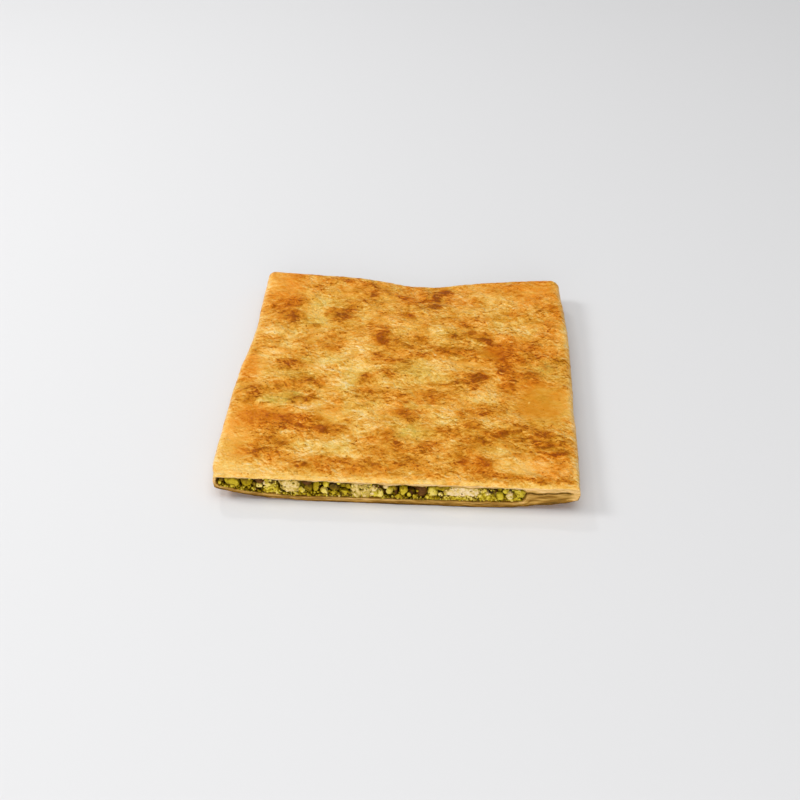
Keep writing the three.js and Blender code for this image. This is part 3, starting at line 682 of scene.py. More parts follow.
# How the cut leaves are baked, from the crust inwards, and where the cut is solid dough. The top
# sheet's last, darkest row, next to the pocket, is painted shade under the sheet.
TOP_CUT_BAKE, TOP_SOLID_BAKE = [0.20, 0.34, 0.18, 0.40, 0.30, 0.66], 0.26
BOTTOM_CUT_BAKE, BOTTOM_SOLID_BAKE = [1.00, 0.62, 0.84, 0.46, 0.74, 0.42], 0.66
RIGHT_END_BAKE = 0.34
WALL_BAKE, POCKET_CEILING_SHADE, POCKET_FLOOR_SHADE = 0.55, 0.90, 0.80  # the pocket at the cut, and deeper in, where its walls are painted darker: painted shade inside the pocket
SOLID_X, RIGHT_END_X = (56, 66), (82, 86)  # where leaves turn to solid dough, and where it ends
CRUMB = 1  # the number of the packet's second material. Its crust's is 0


def cut_rows(outer, inner, leaf_bake, solid_bake, seed):
    """Points of a cut sheet between its outer skin and the pocket, without those two rows. The
    dough's thin leaves stand out from the cut or lie back from it, row by row."""
    rows, bakes = [], []
    for k in range(1, CUT_ROWS):
        share = k / CUT_ROWS
        row = mix(outer, inner, share)
        x = row[:, 0]
        solid = smooth(*SOLID_X, x)
        bake = mix(leaf_bake[k - 1], solid_bake, 0.65 * solid)
        bake = bake + 0.26 * fractal(on_plane(x, 5.1 * k), (10, 1, 1), seed + 3, 4)
        bakes.append(mix(bake, RIGHT_END_BAKE, smooth(*RIGHT_END_X, x)))
        p = on_plane(x, 3.7 * k)
        leaf = (-1) ** k * (0.26 + 0.20 * noise(p, (9, 1, 1), seed))
        leaf = leaf + 0.24 * noise(p, (3, 1, 1), seed + 1)
        row[:, 1] += leaf * (1 - 0.5 * solid) + 0.12 * math.sin(math.pi * share)
        row[:, 2] += 0.18 * noise(p, (7, 1, 1), seed + 2) * math.sin(math.pi * share)
        rows.append(row)
    return np.stack(rows), np.stack(bakes)


def make_dough(crust, crumb):
    """The packet: its skin, the pocket's walls, and the two cut sheets that join them."""
    builder = Builder("bake", "spots", "orange", "green", "lively")
    upper, lower, inset = shell_grids()
    top_points, top_values = with_skin(upper, inset, 1)
    bottom_points, bottom_values = with_skin(lower, inset, -1)
    top, bottom = pillow(builder, top_points, bottom_points, top_values, bottom_values)
    ceiling_points, floor_points = pocket_grids(np.linspace(0, 1, top.shape[1]))
    ceiling, floor = pocket_pillow(builder, ceiling_points, floor_points)

    points = np.concatenate(builder.points)
    sheets = []
    for skin, pocket, leaf_bake, solid_bake, seed in (
        (top, ceiling, TOP_CUT_BAKE, TOP_SOLID_BAKE, 221),
        (bottom, floor, BOTTOM_CUT_BAKE, BOTTOM_SOLID_BAKE, 231),
    ):
        rows, bakes = cut_rows(points[skin[0]], points[pocket[0]], leaf_bake, solid_bake, seed)
        sheets.append(builder.add(rows, bake=bakes))
    above, below = sheets
    for end in (0, -1):
        below[:, end] = above[:, end]
    builder.quads(np.vstack([top[:1], above, ceiling[:1]]), CRUMB, flip=True)
    builder.quads(np.vstack([bottom[:1], below, floor[:1]]), CRUMB)
    return builder.make("dough_packet", [crust, crumb])


def pocket_pillow(builder, upper, lower):
    """The pocket's walls. Both faces have all the rows, and the floor half the columns."""
    # Painted shade: the pocket's walls are painted darker a few mm in from the cut
    deep = smooth(0.3, 3, upper[..., 1] - FRONT)
    top = builder.add(upper, bake=mix(WALL_BAKE, POCKET_CEILING_SHADE, deep))
    bottom = builder.add(lower[:, ::2], bake=mix(WALL_BAKE, POCKET_FLOOR_SHADE, deep[:, ::2]))
    bottom[:, 0], bottom[:, -1], bottom[-1] = top[:, 0], top[:, -1], top[-1, ::2]
    builder.quads(top, CRUMB, flip=True)
    builder.quads(bottom[:-1], CRUMB)
    for i in range(bottom.shape[1] - 1):
        front = [bottom[-2, i], bottom[-2, i + 1]]
        back = [bottom[-1, i + 1], top[-1, 2 * i + 1], bottom[-1, i]]
        builder.polygons([front + back], CRUMB)
    return top, bottom


# ------------------------------------------------------------
# Chopped pistachios. For each kind of kernel: where on NUT_COLOURS its colour is, how much
# brown skin it keeps, and whether it is cut
KINDS = {
    "dark": (0.20, 0.30, True),
    "green": (0.42, 0.10, True),
    "flesh": (0.62, 0.08, True),
    "bright": (0.84, 0.00, True),
    "pale": (0.98, 0.00, True),
    "skin": (0.30, 1.00, False),
}
# The kernels that show at the cut: x, level, width, height and kind
SHOWN_KERNELS = [
    (-83.0, 10.8, 2.6, 2.8, "green"), (-84.0, 8.7, 2.0, 2.0, "flesh"),
    (-77.9, 9.0, 7.0, 6.8, "flesh"), (-70.9, 9.6, 5.7, 6.2, "green"),
    (-64.4, 11.0, 4.6, 4.2, "skin"), (-64.9, 7.6, 3.4, 2.4, "pale"),
    (-67.4, 8.2, 2.0, 2.4, "dark"), (-61.2, 10.9, 2.6, 2.6, "bright"),
    (-60.6, 8.0, 2.8, 3.2, "pale"), (-59.0, 9.9, 2.2, 2.4, "dark"),
    (-57.2, 10.8, 2.6, 2.8, "green"), (-58.0, 7.2, 2.4, 2.2, "bright"),
    (-45.1, 6.0, 2.6, 2.4, "bright"), (-41.8, 10.6, 4.8, 2.9, "skin"),
    (-41.0, 7.0, 4.4, 4.8, "dark"), (-44.0, 5.6, 2.2, 2.2, "bright"),
    (-37.7, 7.7, 3.5, 7.2, "flesh"), (-32.6, 9.6, 3.3, 4.5, "bright"),
    (-33.5, 5.2, 4.1, 2.9, "bright"), (-28.4, 8.0, 5.2, 5.2, "dark"),
    (-26.4, 11.0, 1.7, 1.4, "pale"), (-28.8, 4.9, 3.2, 2.0, "green"),
    (-21.6, 9.1, 3.8, 4.3, "green"), (-23.8, 5.2, 3.5, 3.7, "flesh"),
    (-6.8, 5.3, 3.2, 3.8, "bright"), (-9.2, 4.6, 2.4, 2.2, "flesh"),
    (-2.3, 6.8, 3.5, 4.8, "bright"), (0.3, 9.5, 2.4, 3.0, "green"),
    (0.9, 7.0, 1.7, 5.6, "skin"), (4.6, 7.2, 4.3, 6.0, "flesh"),
    (2.3, 4.6, 2.0, 2.0, "green"), (7.2, 4.8, 2.2, 2.4, "flesh"),
    (13.1, 7.2, 5.9, 7.4, "skin"), (18.4, 6.4, 4.9, 6.2, "bright"),
    (22.8, 9.9, 6.9, 3.0, "flesh"), (22.3, 6.2, 2.3, 2.0, "pale"),
    (15.9, 4.2, 2.2, 2.0, "flesh"), (10.0, 4.4, 2.2, 2.2, "green"),
    (42.6, 9.4, 2.8, 2.6, "pale"), (43.6, 6.6, 3.0, 3.0, "green"),
    (41.2, 6.0, 2.4, 2.6, "bright"), (46.2, 9.2, 2.6, 2.4, "dark"),
    (46.9, 7.0, 2.2, 2.4, "dark"), (45.2, 4.6, 2.8, 2.2, "bright"),
    (50.5, 6.0, 4.3, 4.7, "flesh"), (48.0, 9.6, 2.4, 1.9, "skin"),
    (60.2, 7.7, 5.8, 4.4, "flesh"), (57.0, 4.9, 2.6, 2.2, "green"),
    (58.2, 9.8, 2.4, 1.8, "bright"), (53.0, 9.6, 2.8, 1.8, "bright"),
]
BEHIND_KERNELS = 150  # kernels that fill the pocket behind the ones at the cut
BEHIND_SIZES = (2.6, 5.6)
BEHIND_KINDS = ["flesh", "green", "dark", "skin", "bright", "dark", "skin", "green"]
LARGE_KERNEL = 3.0  # mm, from which a kernel has a fine mesh
KERNEL_SCALE = 1.08  # makes up for what the slices take off a kernel at the cut
PAINTED_LIP_SHADE = 0.30  # how much darker kernels are painted just under the top sheet: painted shade cast by the sheet
FLESH_EDGE = 0.05  # how sharply a kernel's skin ends at a slice
FILL_DEPTH = 10.0  # how far behind the cut the loose kernels reach


def ball(subdivisions):
    """Points and faces of a ball of radius 1."""
    mesh = bmesh.new()
    bmesh.ops.create_icosphere(mesh, subdivisions=subdivisions, radius=1.0)
    points = np.array([v.co for v in mesh.verts])
    faces = np.array([[v.index for v in f.verts] for f in mesh.faces])
    mesh.free()
    return points, faces


def random_turn(rng):
    """A random rotation matrix."""
    q = rng.normal(size=4)
    w, x, y, z = q / np.linalg.norm(q)
    return np.array(
        [
            [1 - 2 * (y * y + z * z), 2 * (x * y - z * w), 2 * (x * z + y * w)],
            [2 * (x * y + z * w), 1 - 2 * (x * x + z * z), 2 * (y * z - x * w)],
            [2 * (x * z - y * w), 2 * (y * z + x * w), 1 - 2 * (x * x + y * y)],
        ]
    )


def sliced(points, direction, limit, softness):
    """Points beyond a plane, moved almost onto it, and how far each had gone past it."""
    direction = direction / np.linalg.norm(direction)
    over = np.maximum(points @ direction - limit, 0)
    return points - np.outer(over * (1 - softness), direction), over


def add_kernel(builder, rng, shape, place, size, kind):
    """One chopped kernel: a lumpy oval, broken or cut along a few planes."""
    tone, skin, cut = KINDS[kind]
    unit, faces = shape
    turn = random_turn(rng)
    points = unit @ np.diag(rng.uniform(0.85, 1.12, 3)) @ turn.T
    seed = int(rng.integers(1000))
    p = unit * 3 + seed
    points = points * (1 + 0.10 * noise(p, 2.6, 301) + 0.04 * noise(p, 0.9, 302))[:, None]
    flesh = np.zeros(len(points))
    slices = int(rng.integers(2, 5)) if cut else 1
    for _ in range(slices):
        points, over = sliced(points, rng.normal(size=3), rng.uniform(0.55, 0.85), 0.06)
        flesh = np.maximum(flesh, ramp(0.0, FLESH_EDGE, over))
    if cut:
        to_front = np.array([rng.normal(0, 0.25), -1, rng.normal(0.15, 0.25)])
        points, over = sliced(points, to_front, rng.uniform(0.5, 0.8), 0.05)
        flesh = np.maximum(flesh, ramp(0.0, FLESH_EDGE, over))
    points = points * np.asarray(size) / 2
    points += 0.07 * noise(points + seed, 0.8, 303)[:, None] * unit
    points = points + place
    ceiling, floor = pocket_limits(points[:, 0], np.maximum(points[:, 1], FRONT))
    points[:, 2] = np.clip(points[:, 2], floor + 0.05, np.maximum(ceiling - 0.25, floor + 0.3))
    points[:, 1] = np.maximum(points[:, 1], FRONT + 0.25 + 0.10 * noise(points, 1.3, 304))
    tone = tone + 0.05 * rng.normal() + 0.10 * noise(points, 1.6, 305) + 0.10 * (flesh - 0.5)
    # Painted shade: the higher a kernel sits, just under the top sheet, the darker it is painted
    up_share = (points[:, 2] - floor) / np.maximum(ceiling - floor, 1.0)
    tone = tone - PAINTED_LIP_SHADE * smooth(0.45, 1.0, up_share)
    numbers = builder.add(points, tone=tone, skin=np.clip(skin * (1 - 0.8 * flesh), 0, 1))
    builder.polygons(numbers[faces])


def make_kernels(material):
    """The kernels that show at the cut, and more at random behind them."""
    rng = np.random.default_rng(SEED)
    builder = Builder("tone", "skin")
    fine, coarse = ball(4), ball(3)
    for x, level, width, height, kind in SHOWN_KERNELS:
        shape = fine if max(width, height) > LARGE_KERNEL else coarse
        depth = max(width, height) * rng.uniform(0.8, 1.1)
        recess = rng.uniform(0.35, 1.1) + 0.42 * depth
        place = np.array([x, FRONT + recess, level])
        size = (width * KERNEL_SCALE, depth, height * KERNEL_SCALE)
        add_kernel(builder, rng, shape, place, size, kind)
    left, right = filling_edges(-1.0)
    for k in range(BEHIND_KERNELS):
        x = mix(left + 1.5, right - 2.0, (k + rng.uniform()) / BEHIND_KERNELS)
        size = rng.uniform(*BEHIND_SIZES, 3)
        y = FRONT + mix(2.2, FILL_DEPTH, rng.uniform()) + size[1] / 2
        ceiling, floor = pocket_limits(x, y)
        place = np.array([x, y, rng.uniform(floor + 1.0, ceiling - 1.0)])
        kind = BEHIND_KINDS[int(rng.integers(len(BEHIND_KINDS)))]
        add_kernel(builder, rng, coarse, place, size, kind)
    return builder.make("pistachio_kernels", [material])


# Where loose crumbs lie at the cut: from x, to x, from level, to level (shares of the pocket's
# height), how many, and where on NUT_COLOURS their colour is
CRUMB_BANDS = [
    (-85, 62, 0.02, 0.16, 170, 0.62), (-63, -56, 0.1, 1.0, 60, 0.80),
    (-57, -45, 0.05, 0.3, 50, 0.80), (-56, -46, 0.7, 1.0, 24, 0.72),
    (-14, -6, 0.1, 0.98, 90, 0.86), (-21, -12, 0.05, 0.4, 50, 0.84),
    (-20, -13, 0.6, 1.0, 24, 0.82), (22, 41, 0.05, 0.50, 130, 0.84),
    (40, 49, 0.1, 1.0, 70, 0.72), (52, 60, 0.1, 0.95, 40, 0.76),
    (-31, -20, 0.1, 0.4, 30, 0.55), (-48, -38, 0.1, 0.4, 24, 0.50),
    (-75, -64, 0.1, 0.35, 24, 0.45), (-85, 62, 0.2, 0.95, 60, 0.50),
]
# Banks of fine nut meal on the pocket's floor: x, half length, height as a share of the pocket's
MEAL_BANKS = [
    (-59, 4.0, 0.62), (-44, 3.0, 0.26), (-33, 4.0, 0.24), (-24, 5.0, 0.34), (-11, 4.4, 0.72),
    (2, 4.0, 0.22), (17, 4.0, 0.24), (31, 9.0, 0.44), (44.5, 4.4, 0.62), (56, 4.0, 0.50),
]
SMALLEST_CRUMB, CRUMB_RANGE = 0.25, 0.5  # mm, a crumb's least radius and how much more it has
SKINNED_CRUMBS = 0.1  # the share of crumbs that are brown skin
MEAL_LEVEL = 0.05  # the meal's least height between the banks
MEAL_STEP, MEAL_POINTS = 0.32, 44  # mm between the meal's rings, and points on each


def add_meal(builder):
    """The nut meal: one lumpy bank, lying along the pocket's floor from end to end."""
    left, right = filling_edges(-1.0)
    x = np.arange(left + 0.8, right - 0.6, MEAL_STEP)[:, None]
    turn = np.linspace(0, 2 * math.pi, MEAL_POINTS + 1)[:-1]
    share = MEAL_LEVEL + 0.05 * noise(on_plane(x), 6, 321)[:, None]
    for centre, reach, height in MEAL_BANKS:
        share = np.maximum(share, height * np.exp(-(np.abs((x - centre) / reach) ** 3)))
    ends = np.maximum(quarter_round(x - x[0], 1.5) * quarter_round(x[-1] - x, 1.5), 0.06)
    ceiling, floor = pocket_limits(x, np.full(x.shape, FRONT + 1.0))
    half = np.maximum(share * (ceiling - floor), 0.3) * ends / 2
    depth = mix(1.6, 3.6, share) * ends
    across = np.sign(np.cos(turn)) * np.abs(np.cos(turn)) ** 0.8
    upward = np.sign(np.sin(turn)) * np.abs(np.sin(turn)) ** 0.8
    y = FRONT + 0.75 + depth - depth * across
    z = floor + half + half * upward
    points = np.stack([x + 0 * y, y, z], -1)
    flat = on_plane(points[..., 0], points[..., 1] * 0.6 + points[..., 2])
    lump = domes(warped(flat, 2, 0.5, 322), 1.5, (0.7, 1.1), 323).reshape(y.shape)
    push = (0.45 * (lump - 0.5) + 0.18 * noise(flat, 3.2, 324).reshape(y.shape)) * ends
    points[..., 1] -= push * across
    points[..., 2] += push * np.maximum(upward, 0)
    tone = mix(0.30, 0.66, smooth(0.2, 0.6, share)) + 0.40 * (lump - 0.5)
    tone = tone + 0.20 * noise(flat, 2.2, 325).reshape(y.shape)
    numbers = builder.add(points, tone=tone)
    builder.tube(numbers)
    builder.polygons([numbers[0], numbers[-1, ::-1]])


def make_crumbs(material):
    """Nut crumbs at the cut, each a small broken lump."""
    rng = np.random.default_rng(SEED + 1)
    builder = Builder("tone", "skin")
    add_meal(builder)
    unit, faces = ball(2)
    for x0, x1, low_share, high_share, count, tone in CRUMB_BANDS:
        for _ in range(count):
            radius = SMALLEST_CRUMB + CRUMB_RANGE * rng.uniform() ** 2
            x = rng.uniform(x0, x1)
            y = FRONT + radius + rng.uniform(0.1, 1.7)
            ceiling, floor = pocket_limits(x, y)
            share = rng.uniform(low_share, high_share)
            place = np.array([x, y, mix(floor + 0.6 * radius, ceiling - 0.6 * radius, share)])
            points = unit * rng.uniform(0.7, 1.2, 3)
            points = points * rng.uniform(0.75, 1.2, (len(unit), 1))
            for _ in range(2):
                points, _ = sliced(points, rng.normal(size=3), 0.6, 0.1)
            colour = tone + 0.16 * rng.normal()
            skin = float(rng.uniform() < SKINNED_CRUMBS)
            numbers = builder.add(points * radius + place, tone=colour, skin=skin)
            builder.polygons(numbers[faces])
    return builder.make("pistachio_crumbs", [material])


CORE_COLUMNS = 121  # points across the core
CORE_SKIN = 0.15  # how much brown skin shows on it


def make_core(material):
    """The nuts further in, packed too tightly to be told apart."""
    builder = Builder("tone", "skin")
    near, far = np.linspace(FILL_DEPTH - 3, 20, 14), np.linspace(22, POCKET_END, 90)
    depth = np.concatenate([near, far])
    y = (FRONT + depth)[:, None]
    v = 2 * depth[:, None] / DEPTH - 1
    left, right = filling_edges(v)
    crowded = (1 - np.cos(np.linspace(0, math.pi, CORE_COLUMNS))) / 2
    across = crowded * 0.12 + 0.88 * np.linspace(0, 1, CORE_COLUMNS)
    x = mix(left + 0.2, right - 0.2, across)
    y = np.broadcast_to(y, x.shape)
    ceiling, floor = pocket_limits(x, y)
    share = quarter_round(x - left, 2.5) * quarter_round(right - x, 3.5)
    share = share * quarter_round(FRONT + depth[-1] - y, 5)
    share = share * quarter_round(y - FRONT - depth[0], 2.0)
    middle = (ceiling + floor) / 2
    half = np.maximum(ceiling - floor - 0.4, 0.2) / 2 * share
    sides = []
    for side in (1, -1):
        grid = np.stack([x, y, middle + side * half], -1)
        p = grid.reshape(-1, 3)
        lump = domes(warped(p, 4, 1.2, 311), 4.4, (2.2, 3.4), 312, 1.0).reshape(x.shape)
        grid[..., 2] -= side * 0.7 * (1 - lump) * share
        tone = 0.4 + 0.25 * noise(p, 3.0, 313) + 0.1 * noise(p, 1.2, 314)
        sides.append(builder.add(grid, tone=tone.reshape(x.shape), skin=CORE_SKIN))
    top, bottom = sides
    bottom[:, 0], bottom[:, -1] = top[:, 0], top[:, -1]
    bottom[0], bottom[-1] = top[0], top[-1]
    builder.quads(top)
    builder.quads(bottom, flip=True)
    return builder.make("pistachio_core", [material])


# ------------------------------------------------------------
# Clotted cream: bands that run back from the cut, each for the node of its name. Low and high
# are shares of the pocket's height, drift is how far a band strays sideways on its way back, and
# lean is how far its left side leans. tint is how yellow it is, stain_from is the share of its
# width from which nuts stain it, and its pores are x, level and radius.
CREAM_BANDS = {
    "cream_left": {
        "x": -50.0, "width": 9.6, "low": 0.20, "high": 1.0, "drift": -4.0, "lean": -1.5,
        "tint": 0.14, "stain_from": 0.25,
        "pores": [(-54.2, 9.0, 0.8), (-52.2, 8.0, 0.5), (-48.0, 10.6, 0.6)],
    },
    "cream_middle": {
        "x": -15.6, "width": 10.4, "low": 0.02, "high": 1.0, "drift": 5.0, "lean": 0.0,
        "tint": 0.18, "stain_from": 0.0,
        "pores": [(-15.6, 8.1, 1.1), (-18.6, 6.2, 0.6), (-12.4, 9.2, 0.7)],
    },
    "cream_right": {
        "x": 32.6, "width": 16.0, "low": 0.34, "high": 1.0, "drift": -3.0, "lean": 3.4,
        "tint": 0.02, "stain_from": 0.70,
        "pores": [(36.6, 9.4, 0.6), (29.2, 9.6, 0.4)],
    },
}
CREAM_BACK = 38.0  # y where the bands end
CREAM_RECESS = 0.45  # how far in from the cut they begin
CREAM_POINTS = 96  # on each ring round a band
CAP_RINGS, BAND_RINGS = 20, 59  # rings across a band's face and along it
SQUARENESS = 3.2  # 2 would make a band's section an oval, and more makes it squarer
PORE_DEPTH = 1.9
BIT_DEPTH, BIT_RECESS = 3.2, 1.7  # how deep a small lump is, and how far in its middle lies
# Small lumps of cream among the nuts: x, level, width, height, and one pore
CREAM_BITS = [
    (55.1, 6.9, 3.4, 4.6, (55.7, 6.9, 0.6)), (-3.9, 10.0, 2.6, 2.2, None),
    (-9.6, 8.4, 3.0, 3.2, (-8.7, 9.2, 0.5)), (-61.9, 9.4, 2.2, 2.0, None),
    (44.6, 8.0, 2.0, 1.7, None), (-10.6, 5.6, 2.6, 2.2, None),
]


def make_cream(node, material):
    """A band of cream: rings of points, first across its face at the cut and then back along it."""
    band = CREAM_BANDS[node]
    builder = Builder("shade")
    around = np.linspace(0, 2 * math.pi, CREAM_POINTS + 1)[:-1]
    rings = np.linspace(0.04, 1, CAP_RINGS)[:, None]
    along = np.linspace(0, 1, BAND_RINGS + 1)[1:, None] ** 1.5
    share = np.concatenate([0 * rings, along])
    taper = 1 - 0.25 * share - 0.65 * smooth(0.86, 1.0, share) ** 2
    radius = np.concatenate([rings, np.ones(along.shape)]) * taper
    corners = np.abs(np.cos(around)) ** SQUARENESS + np.abs(np.sin(around)) ** SQUARENESS
    square = 1 / corners ** (1 / SQUARENESS)
    pattern = np.full(CREAM_POINTS, 7.0 * sum(ord(letter) for letter in node))
    circle = np.column_stack([np.cos(around) * 9, np.sin(around) * 9, pattern])
    lobes = 1 + 0.13 * noise(circle, 4.5, 401) + 0.10 * noise(circle, 1.9, 402)
    reach = radius * square * lobes

    lean = band["lean"] * np.sin(around) * np.maximum(-np.cos(around), 0)
    centre = band["x"] + band["drift"] * share
    x = centre + band["width"] / 2 * reach * np.cos(around) + lean * reach
    y = FRONT + CREAM_RECESS + (CREAM_BACK - FRONT) * share
    y = np.broadcast_to(y, x.shape).copy()
    ceiling, floor = pocket_limits(x, np.maximum(y, FRONT))
    middle = mix(floor, ceiling, (band["low"] + band["high"]) / 2)
    half = (band["high"] - band["low"]) * (ceiling - floor) / 2
    z = np.clip(middle + half * reach * np.sin(around), floor + 0.08, ceiling - 0.08)
    points = np.stack([x, y, z], -1)
    flat = points.reshape(-1, 3)

    # flat shares points' memory, so each noise below is taken where the steps above it left them
    front = np.concatenate([np.ones(rings.shape), 1 - ramp(0, 0.03, along)]) * np.ones(x.shape)
    hollows = domes(warped(flat[:, [0, 2, 1]], 2, 0.5, 404), 2.4, (0.9, 1.5), 405)
    cap = (0.55 * fractal(flat, 2.8, 403, 4) - 0.30 * hollows).reshape(x.shape)
    cap = cap + 0.9 * smooth(0.75, 1.05, radius * lobes)
    pit = np.zeros(x.shape)
    for pore_x, pore_z, pore_radius in band["pores"]:
        distance = np.hypot(x - pore_x, z - pore_z) / pore_radius
        pit = np.maximum(pit, smooth(1.25, 0.55, distance))
    points[..., 1] += front * (cap + PORE_DEPTH * pit)
    outward = np.stack([np.cos(around), 0 * around, np.sin(around)], -1)
    lumps = (0.30 * fractal(flat, 3.4, 406, 3)).reshape(x.shape)
    points += ((1 - front) * np.minimum(lumps, 0.0))[..., None] * outward
    stain = np.clip(0.55 + 1.3 * fractal(flat, 2.2, 407, 3).reshape(x.shape), 0, 1)
    sponge = np.clip(fractal(flat, 1.5, 408, 2), 0, 1).reshape(x.shape)
    points[..., 1] += 0.5 * sponge * front
    # The stains are the cream's own colour. The pores are painted dark: painted shade in the holes
    shade = 0.60 * stain * smooth(band["stain_from"], 1.0, radius)
    shade = shade + 0.9 * pit * front + 0.40 * sponge + band["tint"]
    numbers = builder.add(points, shade=shade)
    builder.tube(numbers)
    for end, flip in ((0, False), (-1, True)):
        tip = builder.add(points[end].mean(axis=0)[None], shade=shade[end].mean())[0]
        edge = np.append(numbers[end], numbers[end, 0])
        faces = [[tip, edge[i], edge[i + 1]] for i in range(CREAM_POINTS)]
        builder.polygons([face[::-1] for face in faces] if flip else faces)
    return builder.make(node + "_band", [material])


def make_cream_bits(material):
    """The small lumps of cream, each an uneven ball flattened at the cut."""
    builder = Builder("shade")
    unit, faces = ball(5)
    for k, (x, level, width, height, pore) in enumerate(CREAM_BITS):
        noisy = 1 + 0.16 * fractal(unit * 3 + 20 * k, 2.4, 411, 3)
        points = unit * noisy[:, None] * np.array([width, BIT_DEPTH, height]) / 2
        points = points + np.array([x, FRONT + BIT_RECESS, level])
        points[:, 1] = np.maximum(points[:, 1], FRONT + 0.4 + 0.25 * fractal(points, 1.4, 412, 2))
        pit = np.zeros(len(points))
        if pore:
            distance = np.hypot(points[:, 0] - pore[0], points[:, 2] - pore[1]) / pore[2]
            pit = smooth(1.3, 0.6, distance) * smooth(2.0, 1.2, points[:, 1] - FRONT)
        points[:, 1] += 1.1 * pit
        stain = 0.2 + 0.3 * fractal(points, 1.8, 413, 2)
        # Painted shade: the pore is painted dark
        numbers = builder.add(points, shade=stain + 0.9 * pit)
        builder.polygons(numbers[faces])
    return builder.make("cream_lumps", [material])


# ------------------------------------------------------------
# Materials


def linear(red, green, blue):
    """A colour as light, from its screen values of 0 to 255."""
    parts = (channel / 255 for channel in (red, green, blue))
    return (*(((c + 0.055) / 1.055) ** 2.4 if c > 0.04 else c / 12.92 for c in parts), 1.0)


class Nodes:
    """Short calls that add nodes to a material."""

    def __init__(self, name):
        self.material = bpy.data.materials.new(name)
        self.material.use_nodes = True
        self.tree = self.material.node_tree
        self.shader = self.tree.nodes["Principled BSDF"]
        self.place = self.tree.nodes.new("ShaderNodeTexCoord").outputs["Object"]

    def set(self, **values):
        """Sets the shader's sockets, named with _ for a space: a number or colour, or a link."""
        for name, value in values.items():
            self.put(self.shader.inputs[name.replace("_", " ")], value)

    def put(self, socket, value):
        if isinstance(value, bpy.types.NodeSocket):
            self.tree.links.new(value, socket)
        else:
            socket.default_value = value

    def value(self, name):
        """One of the values that the mesh carries."""
        node = self.tree.nodes.new("ShaderNodeAttribute")
        node.attribute_name = name
        return node.outputs["Fac"]

    def math(self, operation, a, b=0.0, c=0.0):
        node = self.tree.nodes.new("ShaderNodeMath")
        node.operation = operation
        for socket, value in zip(node.inputs, (a, b, c)):
            self.put(socket, value)
        return node.outputs[0]

    def noise(self, per_mm, detail=2.0, stretch=(1, 1, 1), twist=0.0, shift=0.0, step=0.0):
        """Noise from 0 to 1, of so many features a millimetre, taken a step (mm) further back.
        shift picks its pattern."""
        mapping = self.tree.nodes.new("ShaderNodeMapping")
        location = (shift + 0.3 * step * MM, 2 * shift + step * MM, 0)
        mapping.inputs["Location"].default_value = location
        mapping.inputs["Scale"].default_value = stretch
        self.tree.links.new(self.place, mapping.inputs["Vector"])
        node = self.tree.nodes.new("ShaderNodeTexNoise")
        node.inputs["Scale"].default_value = per_mm / MM
        node.inputs["Detail"].default_value = detail
        node.inputs["Distortion"].default_value = twist
        self.tree.links.new(mapping.outputs[0], node.inputs["Vector"])
        return node.outputs["Fac"]

    def lines(self, source, thinness):
        """Thin lines where a noise crosses its middle: 1 on the line and 0 off it."""
        away = self.math("ABSOLUTE", self.math("SUBTRACT", source, 0.5))
        return self.math("MAXIMUM", self.math("MULTIPLY_ADD", away, -thinness, 1.0), 0.0)

    def lit(self, shape, sharpness, step, **noise):
        """A shape made of noise, and the light it catches from behind: its back edges 1, its
        front edges -1."""
        here, behind = (shape(self.noise(step=k, **noise), sharpness) for k in (0.0, step))
        return here, self.math("SUBTRACT", here, behind)

    def crisp(self, source, steepness):
        """A noise made into patches with narrow borders: 1 above its middle and 0 below it."""
        rise = self.math("MULTIPLY_ADD", source, steepness, 0.5 - 0.5 * steepness)
        return self.math("MINIMUM", self.math("MAXIMUM", rise, 0.0), 1.0)

    def around(self, source, amount):
        """A noise socket as a signed value of about that amount either way."""
        return self.math("MULTIPLY_ADD", source, 4 * amount, -2 * amount)

    def ramp(self, source, stops):
        """The colour at a value's place among the stops."""
        node = self.tree.nodes.new("ShaderNodeValToRGB")
        elements = node.color_ramp.elements
        while len(elements) < len(stops):
            elements.new(1.0)
        for element, (place, colour) in zip(elements, stops):
            element.position = place
            element.color = linear(*colour)
        self.tree.links.new(source, node.inputs[0])
        return node.outputs["Color"]

    def blend(self, share, a, b):
        """Colour a where share is 0, and b where it is 1."""
        node = self.tree.nodes.new("ShaderNodeMix")
        node.data_type = "RGBA"
        for index, value in ((0, share), (6, a), (7, b)):
            self.put(node.inputs[index], value)
        return node.outputs[2]

    def span(self, source, low_value, high_value):
        """A value of 0 to 1 spread from low to high."""
        return self.math("MULTIPLY_ADD", source, high_value - low_value, low_value)

    def bump(self, height, depth_mm, strength=1.0):
        node = self.tree.nodes.new("ShaderNodeBump")
        node.inputs["Strength"].default_value = strength
        node.inputs["Distance"].default_value = depth_mm * MM
        self.tree.links.new(height, node.inputs["Height"])
        self.tree.links.new(node.outputs[0], self.shader.inputs["Normal"])


ORANGE_COLOURS = [
    (0.00, (247, 206, 144)),
    (0.25, (238, 182, 99)),
    (0.46, (226, 155, 60)),
    (0.66, (209, 126, 24)),
    (0.84, (182, 98, 4)),
    (1.00, (144, 68, 0)),
]
YELLOW_COLOURS = [
    (0.00, (240, 216, 158)),
    (0.25, (230, 195, 111)),
    (0.46, (216, 168, 72)),
    (0.66, (197, 139, 38)),
    (0.84, (166, 109, 9)),
    (1.00, (128, 75, 0)),
]
CUT_COLOURS = [
    (0.00, (252, 220, 168)),
    (0.20, (240, 198, 134)),
    (0.45, (206, 162, 82)),
    (0.70, (152, 108, 34)),
    (1.00, (86, 58, 6)),
]
GREEN = (198, 172, 74)  # of the crust over nuts that show through
